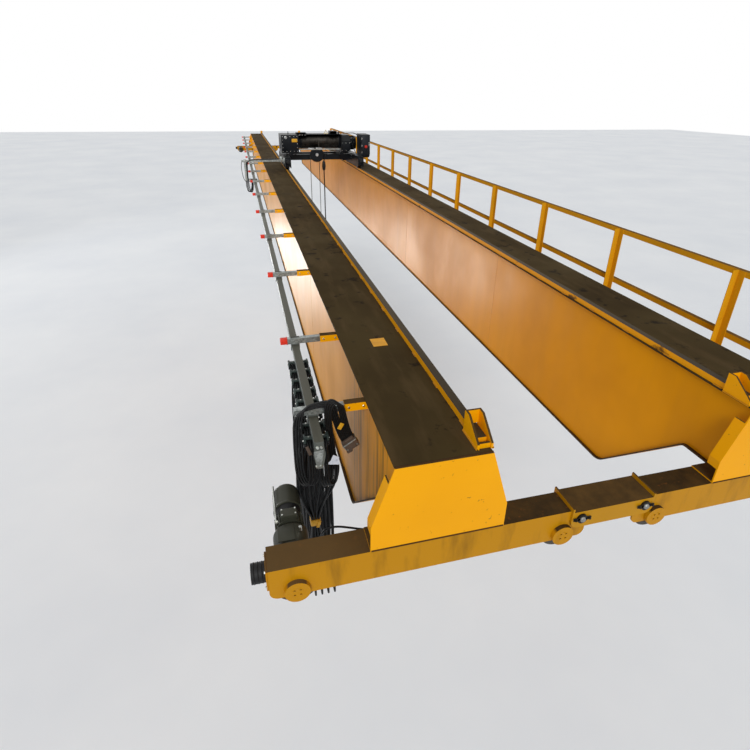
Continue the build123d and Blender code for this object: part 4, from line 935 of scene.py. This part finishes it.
def drive_details(finish):
    """Fins, terminal box, conduit, dark rings for the shade in the cowl slots, and the gearcase's lid, of
    the four travel drives.
    """
    shape, bolts, dark = bmesh.new(), bmesh.new(), bmesh.new()
    for x, end in itertools.product((WHEEL_X[0], WHEEL_X[3]), (-1, 1)):
        motor_outside(shape, bolts, dark, x, end)
        block(shape, (x - 0.025, end * 11.09, 0.227), (0.045, 0.050, 0.004), 0.003)
        rod(bolts, (x + 0.05, end * 11.08, 0.222), (x + 0.05, end * 11.08, 0.250), 0.009, 10)
        for point in around(8, 0.080, (x, end * 11.0025, 0.130), RIGHT, UP, 0.4):
            if point.z < 0.2:
                bolt(bolts, point, (0, -end, 0), 0.006)
    piece("drive_castings", shape, finish["drive"])
    piece("drive_bolts", bolts, finish["bolt"])
    piece("cowl_slots", dark, finish["rubber"])


def motor_outside(shape, bolts, dark, x, end):
    """What sits on one travel motor: fins along its body, the box on top, a conduit and the cowl's rings,
    dark as painted shade in its slots.
    """
    axis = TRAVEL_MOTOR_Z
    inward = (0, -end, 0)
    fins(shape, 18, 0.074, (x, end * 10.9625, axis), (0.006, 0.034, 0.0018), "Y", math.radians(10))
    box_y = end * 10.9685
    block(shape, (x, box_y, axis + 0.079), (0.045, 0.0285, 0.019), 0.006)
    bolts_at(bolts, (x - 0.036, x + 0.036), (box_y - 0.0185, box_y + 0.0185), (axis + 0.098,), UP, 0.0045)
    pipe_x = x - 0.070
    rod(bolts, (pipe_x, end * 10.985, axis + 0.060), (pipe_x, end * 10.72, axis + 0.065), 0.006, 10)
    bolt(bolts, (pipe_x, end * 10.985, axis + 0.050), UP, 0.010)
    rim = [(0.060, -0.004), (0.080, -0.003), (0.081, 0.006), (0.079, 0.012)]
    lathe(shape, rim, (x, end * 10.871, axis), inward)
    # Dark rubber rings on the cowl's face: painted shade in its slots.
    for radius in (0.014, 0.026, 0.038, 0.050):
        inner, outer = radius - 0.004, radius + 0.001
        ring = [(inner, 0.0), (inner, 0.002), (outer, 0.002), (outer, 0.0)]
        lathe(dark, ring, (x, end * 10.7025, axis), inward, 28)
    band = [(0.058, 0.0), (0.073, 0.002), (0.073, 0.046), (0.058, 0.048)]
    lathe(dark, band, (x, end * 10.9215, axis), inward)


def arm_fittings(finish):
    """Clamp screws on the sleeves, straps that hold the track under each arm, and the arms' end caps."""
    bolts, straps, caps = bmesh.new(), bmesh.new(), bmesh.new()
    for y in ARM_PLACES:
        bolts_at(bolts, (-1.385, -1.300), (y - 0.025,), (ARM_Z,), NEAR, 0.007)
        for side in (-1, 1):
            block(straps, (TRACK_X + side * 0.029, y, 0.6785), (0.003, 0.014, 0.0505), 0.001)
            bolt(bolts, (TRACK_X + side * 0.032, y, 0.650), (side, 0, 0), 0.006)
        block(straps, (TRACK_X, y, 0.7275), (0.032, 0.014, 0.0025), 0.001)
        if y != END_ARM:
            block(caps, (ARM_TIP - 0.025, y, ARM_Z), (0.025, 0.021, 0.021), 0.004)
            block(caps, (ARM_TIP - 0.003, y, ARM_Z), (0.003, 0.023, 0.023), 0.002)
    piece("arm_bolts", bolts, finish["bolt"])
    piece("track_straps", straps, finish["zinc"])
    made = piece("arm_end_caps", caps, finish["red"])
    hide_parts("festoon_arm_caps")


def walkway_fittings(finish):
    """Base plates and bolts of the handrail posts, and the angles under the deck's edges."""
    plates, bolts = bmesh.new(), bmesh.new()
    for y in POST_PLACES:
        slab(plates, (HANDRAIL_X - 0.085, y - 0.075, DECK_TOP),
             (HANDRAIL_X, y + 0.010, DECK_TOP + 0.008), 0.002)
        for x, step in ((-0.072, -0.062), (-0.072, -0.004), (-0.020, -0.070)):
            bolt(bolts, (HANDRAIL_X + x, y + step, DECK_TOP + 0.008), UP, 0.006)
        bolts_at(bolts, (HANDRAIL_X,), (y - 0.032,), (0.98, 0.425), RIGHT, 0.008)
    low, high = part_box("walkway_deck")
    for x in (low[0] + 0.01, high[0] - 0.05):
        slab(plates, (x, low[1], low[2] - 0.005), (x + 0.04, high[1], low[2]), 0.001)
        slab(plates, (x, low[1], low[2] - 0.040), (x + 0.005, high[1], low[2]), 0.001)
    piece("walkway_plates", plates, finish["yellow"])
    piece("walkway_bolts", bolts, finish["bolt"])


# Trolley

def drum_rope_turns(finish):
    """Rope wound on the drum from its left end to the fall, and the empty grooves beyond it."""
    pitch, steps = 0.0145, 28
    quarter = math.pi / 2
    for name, start, end, radius, bar, kind, slot in (
            ("rope_on_drum", -0.405, FALLS[1][0], 0.1615, 0.007, "wire", "wire_rope"),
            ("drum_grooves", FALLS[1][0] + 0.015, 0.425, 0.1555, 0.005, "oiled", "machined_steel")):
        shape = bmesh.new()
        turns = int((end - start) / pitch)
        upright = Matrix.Rotation(quarter, 4, "X")
        verts = bmesh.ops.create_circle(shape, segments=6, radius=bar, matrix=upright)["verts"]
        bmesh.ops.translate(shape, verts=verts, vec=(0, 0, radius))
        ring = verts + list({edge for vert in verts for edge in vert.link_edges})
        bmesh.ops.rotate(shape, verts=verts, cent=(0, 0, radius), matrix=Matrix.Rotation(quarter, 3, "Z"))
        bmesh.ops.translate(shape, verts=verts, vec=(start, *DRUM))
        bmesh.ops.spin(shape, geom=ring, cent=(start, *DRUM), axis=RIGHT, dvec=(pitch / steps, 0, 0),
                       angle=2 * math.pi * turns, steps=steps * turns)
        piece(name, shape, finish[kind], "rope_drum")
    shape = bmesh.new()
    flange = [(0.150, 0), (0.176, 0), (0.178, 0.004), (0.176, 0.012), (0.150, 0.014)]
    for x, way in ((-0.435, 1), (0.455, -1)):
        lathe(shape, flange, (x, *DRUM), (way, 0, 0), 48)
    piece("drum_flanges", shape, finish["black"], "rope_drum")


def hoist_details(finish):
    """Gearcase cover and drum bearing with their bolts, lifting eyes, and the lids of the boxes on top."""
    black, bolts = bmesh.new(), bmesh.new()
    slab(black, (-0.905, HOIST_FACE, 1.125), (-0.535, HOIST_FACE + 0.014, 1.480), 0.010)
    slab(black, (-0.925, -0.60, 1.18), (-0.915, -0.30, 1.42), 0.004)
    bolts_at(bolts, (-0.885, -0.800, -0.715, -0.630, -0.555), (HOIST_FACE,), (1.145, 1.460), NEAR, 0.007)
    bolts_at(bolts, (-0.885, -0.555), (HOIST_FACE,), (1.225, 1.305, 1.385), NEAR, 0.007)
    bearing = (-0.5235, *DRUM)
    for point in around(10, 0.165, bearing, (0, 1, 0), UP):
        bolt(bolts, point, RIGHT, 0.008)
    collar = [(0.0, 0.0), (0.195, 0.0), (0.195, 0.012), (0.160, 0.030), (0.152, 0.080)]
    lathe(black, collar, bearing, RIGHT, 48)
    eye = [(0.022, -0.006), (0.034, -0.006), (0.034, 0.006), (0.022, 0.006), (0.022, -0.006)]
    for x in (-0.72, 0.47):
        lathe(black, eye, (x, -0.50, 1.515), RIGHT, 20)
    slab(black, (-0.555, -0.80, HOIST_TOP), (-0.330, -0.56, HOIST_TOP + 0.032), 0.006)
    slab(black, (0.210, -0.80, HOIST_TOP), (0.370, -0.56, HOIST_TOP + 0.070), 0.008)
    piece("hoist_covers", black, finish["black"], "trolley")
    piece("hoist_bolts", bolts, finish["bolt"], "trolley")


def bright_fittings(finish):
    """Inspection port on the gearcase, the return sheave's axle cap, and bright clips along the hoist."""
    bright = bmesh.new()
    port = [(0.0, 0.004), (0.020, 0.004), (0.024, 0.008), (0.030, 0.006), (0.032, 0.0)]
    lathe(bright, port, (-0.81, HOIST_FACE, 1.440), NEAR, 28)
    lathe(bright, [(0.0, 0.022), (0.030, 0.022), (0.036, 0.016), (0.038, 0.0)], SHEAVE_FACE, NEAR, 28)
    for x, z in ((-0.23, 1.190), (-0.05, 1.194)):
        block(bright, (x, -0.751, z), (0.07, 0.007, 0.010), 0.004)
    for x in (-0.49, -0.43, -0.36):
        slab(bright, (x, -0.668, 1.470), (x + 0.035, -0.660, 1.492), 0.002)
    piece("hoist_bright_fittings", bright, finish["silver"], "trolley")


def bare_plates(finish):
    """Plain yellow plate on the gearcase and an empty triangle frame beside the drum."""
    plate, frame_bars = bmesh.new(), bmesh.new()
    slab(plate, (-0.678, -0.8745, 1.340), (-0.553, -0.871, 1.412), 0.001)
    piece("bare_yellow_plate", plate, finish["tape"], "trolley")
    middle = (0.14, -0.66, 1.532)
    outer, inner = (around(3, radius, middle, RIGHT, UP, math.pi / 2) for radius in (0.062, 0.034))
    for number in range(3):
        after = (number + 1) % 3
        prism(frame_bars, [outer[number], outer[after], inner[after], inner[number]], (0, 0.003, 0))
    piece("bare_triangle_frame", frame_bars, finish["cream"], "trolley")


def motor_details(finish):
    """Hoist motor's fins, end cowl and terminal box, and the brake housing's bolts."""
    black, bolts = bmesh.new(), bmesh.new()
    fins(black, 24, 0.146, (0.775, *HOIST_MOTOR), (0.060, 0.009, 0.002), "X")
    cowl = [(0.0, 0.036), (0.110, 0.034), (0.140, 0.018), (0.148, 0.0), (0.148, -0.030), (0.140, -0.034)]
    lathe(black, cowl, (0.835, *HOIST_MOTOR), RIGHT, 40)
    slab(black, (0.715, -0.66, 1.300), (0.825, -0.60, 1.410), 0.008)
    slab(black, (0.482, BRAKE_FACE, 1.125), (0.698, BRAKE_FACE + 0.014, 1.320), 0.006)
    bolts_at(bolts, (0.500, 0.590, 0.680), (BRAKE_FACE,), (1.140, 1.305), NEAR, 0.007)
    bolts_at(bolts, (0.734, 0.806), (-0.66,), (1.315, 1.395), NEAR, 0.005)
    piece("hoist_motor_details", black, finish["black"], "trolley")
    piece("hoist_motor_bolts", bolts, finish["bolt"], "trolley")


def cabinet_details(finish):
    """Control cabinet's door with its turned lip, hinges, handle, vents, glands and plain stop button."""
    door, metal, glands = bmesh.new(), bmesh.new(), bmesh.new()
    slab(door, (0.896, -1.118, 1.058), (1.079, -1.098, 1.488), 0.006)
    slab(door, (1.083, -1.085, 1.075), (1.094, -0.595, 1.470), 0.005)
    slab(door, (0.885, -1.112, 1.490), (1.092, -0.572, 1.502), 0.004)
    for number in range(6):
        height = 1.105 + number * 0.014
        slab(door, (0.930, -1.124, height), (1.045, -1.116, height + 0.005), 0.001)
    for height in (1.13, 1.27, 1.42):
        rod(metal, (0.894, -1.122, height - 0.02), (0.894, -1.122, height + 0.02), 0.006, 10)
    slab(metal, (1.055, CABINET_FACE - 0.015, 1.255), (1.068, CABINET_FACE, 1.315), 0.003)
    lathe(metal, [(0.0, 0.006), (0.011, 0.006), (0.013, 0.0)], (1.0615, CABINET_FACE, 1.335), NEAR, 16)
    gland = [(0.0, 0.026), (0.010, 0.026), (0.014, 0.016), (0.016, 0.0)]
    for y in (-1.05, -0.98, -0.91, -0.84, -0.77):
        lathe(glands, gland, (0.94, y, 1.05), (0, 0, -1), 12)
    piece("cabinet_door", door, finish["cabinet"], "trolley")
    piece("cabinet_hinges", metal, finish["bolt"], "trolley")
    piece("cabinet_glands", glands, finish["rubber"], "trolley")
    stop = bmesh.new()
    lathe(stop, [(0.0, 0.038), (0.026, 0.036), (0.034, 0.024), (0.018, 0.014), (0.018, 0.0)],
          (0.985, -1.118, 1.25), NEAR, 24)
    piece("stop_button", stop, finish["button"], "trolley")


def crab_details(finish):
    """Axle caps, bolts and buffers of the trolley's carriages, and fins of its two travel motors."""
    black, bolts, rubber = bmesh.new(), bmesh.new(), bmesh.new()
    cushion = [(0.0, 0.055), (0.030, 0.052), (0.036, 0.040), (0.036, 0.012), (0.044, 0.0)]
    cowl = [(0.0, 0.022), (0.050, 0.020), (0.064, 0.008), (0.066, -0.060), (0.062, -0.064)]
    for side in (-1, 1):
        outward = (side, 0, 0)
        for y in CRAB_Y:
            spot = (side * (RAIL_X + 0.065), y, CRAB_AXLE_Z)
            lathe(black, [(0.0, 0.016), (0.030, 0.014), (0.038, 0.0)], spot, outward, 24)
            cap = (side * (RAIL_X + 0.079), y, CRAB_AXLE_Z)
            for point in around(4, 0.026, cap, (0, 1, 0), UP, math.pi / 4):
                bolt(bolts, point, outward, 0.005)
        for y, way in ((-1.31, -1), (0.39, 1)):
            block(black, (side * RAIL_X, y + way * 0.004, 0.965), (0.055, 0.004, 0.065), 0.003)
            lathe(rubber, cushion, (side * RAIL_X, y + way * 0.008, 0.965), (0, way, 0), 24)
        bolts_at(bolts, (side * (RAIL_X - 0.078),), (-0.60, -0.50, -0.11, -0.01), (0.955, 1.02),
                 (-side, 0, 0), 0.007)
        fins(black, 14, 0.065, (side * 0.575, *CRAB_MOTOR), (0.050, 0.006, 0.0018), "X")
        lathe(black, cowl, (side * 0.440, *CRAB_MOTOR), (-side, 0, 0), 28)
    piece("crab_covers", black, finish["black"], "trolley")
    piece("crab_bolts", bolts, finish["bolt"], "trolley")
    piece("crab_buffers", rubber, finish["rubber"], "trolley")


def trolley_cables(finish):
    """Cables looped along the hoist, from the cabinet to the motors, and hanging beside the falls."""
    sheath = finish["sheath"]
    runs = {
        "hoist_motor_cable": [(0.94, -0.77, 1.03), (0.94, -0.76, 0.99), (0.88, -0.70, 1.00),
                              (0.80, -0.66, 1.16), (0.77, -0.64, 1.24), (0.77, -0.63, 1.31)],
        "limit_switch_cable": [(0.29, -0.56, 1.55), (0.29, -0.52, 1.56), (0.36, -0.46, 1.525),
                               (0.50, -0.50, 1.51), (0.66, -0.56, 1.505), (0.80, -0.66, 1.52),
                               (0.885, -0.75, 1.47), (0.886, -0.78, 1.40)],
        "cross_beam_cable": [(0.89, -0.84, 0.98), (0.80, -0.80, 1.07), (0.62, -0.66, 1.075),
                             (0.40, -0.62, 1.065), (0.18, -0.625, 1.035), (-0.20, -0.63, 1.10),
                             (-0.42, -0.64, 1.075), (-0.62, -0.70, 1.08), (-0.80, -0.90, 1.075),
                             (-0.84, -1.10, 1.07), (-0.86, -1.20, 1.06)],
        "hanging_loop": [(0.16, -0.615, 1.04), (0.12, -0.63, 1.03), (0.085, -0.64, 0.96),
                         (0.070, -0.645, 0.80), (0.075, -0.65, 0.30), (0.070, -0.65, -0.30),
                         (0.078, -0.65, -0.62)],
    }
    for name, points in runs.items():
        pipe(name, points, HANGING_CABLE if name == "hanging_loop" else HOIST_CABLE, sheath, "trolley")
    bulge = bmesh.new()
    lathe(bulge, [(0.012, 0.0), (0.034, 0.030), (0.044, 0.100), (0.034, 0.190), (0.013, 0.230)],
          (0.072, -0.646, 0.68), UP, 20)
    lathe(bulge, [(0.0, 0.0), (0.022, 0.004), (0.026, 0.030), (0.024, 0.090), (0.010, 0.120)],
          (0.078, -0.650, -0.70), UP, 20)
    piece("hanging_connector", bulge, finish["rubber"], "trolley")


def tow_details(finish):
    """Clamps of the tow arm, and the cable bunch that hangs from it beside the track."""
    metal = bmesh.new()
    slab(metal, (-0.995, TOW_Y - 0.032, 0.955), (-0.945, TOW_Y + 0.032, 1.075), 0.004)
    slab(metal, (-0.915, TOW_Y - 0.040, 0.930), (-0.888, TOW_Y + 0.040, 1.045), 0.003)
    slab(metal, (-1.785, TOW_Y - 0.026, 0.960), (-1.730, TOW_Y + 0.026, 1.020), 0.003)
    bolts_at(metal, (-0.985, -0.955), (TOW_Y - 0.032,), (1.055,), NEAR, 0.007)
    piece("tow_clamps", metal, finish["zinc"], "trolley")
    for number in range(4):
        step = number * 0.021
        points = [(-0.93, TOW_Y - 0.02 + step, 1.03), (-1.05, TOW_Y - 0.03 + step, 1.022),
                  (-1.40, TOW_Y - 0.03 + step, 1.016), (-1.62, TOW_Y - 0.03 + step, 1.018),
                  (-1.700 - step / 2, TOW_Y - 0.035 + step, 0.98),
                  (-1.716 - step / 2, TOW_Y - 0.04 + step, 0.80),
                  (-1.712 - step, TOW_Y - 0.045 + step, 0.45), (-1.665 - step, TOW_Y - 0.03 + step, 0.30),
                  (-1.615 - step / 2, TOW_Y - 0.01 + step, 0.40),
                  (-1.615 - step / 2, TOW_Y + step / 2, 0.545)]
        pipe(f"tow_cable_{number + 1}", points, TOW_CABLE, finish["sheath"], "trolley")
    pipe("tow_loop", [(-1.815, TOW_Y - 0.018, 0.985), (-1.835, TOW_Y - 0.03, 0.95),
                      (-1.840, TOW_Y - 0.03, 0.80), (-1.815, TOW_Y - 0.03, 0.62),
                      (-1.76, TOW_Y - 0.035, 0.54), (-1.70, TOW_Y - 0.03, 0.56),
                      (-1.66, TOW_Y - 0.02, 0.58)],
         THIN_CABLE, finish["sheath"], "trolley")


def hook_details(finish):
    """Pin caps and cheek bolts of the hook block, and the hook's safety latch."""
    low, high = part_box("hook_block")
    middle = (low[2] + high[2]) / 2
    metal, bolts = bmesh.new(), bmesh.new()
    cap = [(0.0, 0.012), (0.024, 0.012), (0.030, 0.007), (0.032, 0.0)]
    for y, way in ((low[1], -1), (high[1], 1)):
        lathe(metal, cap, (HOOK_X, y, middle + 0.1), (0, way, 0), 24)
        bolts_at(bolts, (HOOK_X - 0.07, HOOK_X + 0.07), (y,), (middle - 0.09,), (0, way, 0), 0.008)
    piece("block_pin_caps", metal, finish["steel"], "hook_block")
    piece("block_bolts", bolts, finish["bolt"], "hook_block")
    latch = bmesh.new()
    low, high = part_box("crane_hook")
    top = high[2] - 0.14
    slab(latch, (HOOK_X - 0.010, -0.684, top - 0.115), (HOOK_X + 0.010, -0.656, top), 0.003,
         Matrix.Rotation(-0.5, 4, "Y"))
    piece("safety_latch", latch, finish["zinc"], "hook")


def dress_nodes(finish):
    """Gives each solid from the model its own finish."""
    by_finish = {
        # The link finish on the link beams is darkened as painted shade.
        "yellow": "rail_end_stops festoon_brackets walkway_brackets", "link": "link_beams",
        "handrail": "handrail_posts handrails",
        "web": "girder_webs", "bottom": "girder_bottom_plates", "front": "girder_end_boxes",
        # The truck finish is darkened as painted shade.
        "truck": "end_truck_near_left end_truck_near_right end_truck_far_left end_truck_far_right",
        "primer": "girder_top_plates", "rail": "trolley_rails", "rubber": "buffers",
        "cabinet": "control_cabinet",
        "black": "hook_block crab_carriages crab_cross_beams crab_drives hoist_bearers hoist_gearcase "
                 "hoist_frame hoist_top_boxes sheave_support motor_housing hoist_motor cabinet_brackets "
                 "return_sheave",
        "drive": "travel_gearcases travel_motors", "zinc": "rope_guide", "new_zinc": "festoon_arms tow_arm",
        "track": "festoon_track",
        "oiled": "rope_drum link_pins", "chequer": "walkway_deck",
        "steel": "block_sheave crane_hook", "wire": "dead_end_rope drum_rope",
    }
    for name, nodes in by_finish.items():
        for node in nodes.split():
            repaint(node, finish[name])
    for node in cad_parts:
        if "wheel" in node:
            repaint(node, finish["wheel"])


def repaint(node, finish):
    """Puts one finish on a whole solid."""
    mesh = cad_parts[node].data
    for place in range(len(mesh.materials)):
        mesh.materials[place] = finish
    if not mesh.materials:
        mesh.materials.append(finish)


photo_camera()
finish = finishes()
festoon_cables(finish)
cable_carriages(finish)
track_ends(finish)
bundle_fittings(finish)
dress_nodes(finish)
girder_welds(finish)
rail_stitches(finish)
paint_patch(finish)
stop_fittings(finish)
truck_fittings(finish)
pin_keepers(finish)
buffer_plates(finish)
drive_details(finish)
arm_fittings(finish)
walkway_fittings(finish)
drum_rope_turns(finish)
hoist_details(finish)
bright_fittings(finish)
bare_plates(finish)
motor_details(finish)
cabinet_details(finish)
crab_details(finish)
trolley_cables(finish)
tow_details(finish)
hook_details(finish)
hall_light()
hall_floor()
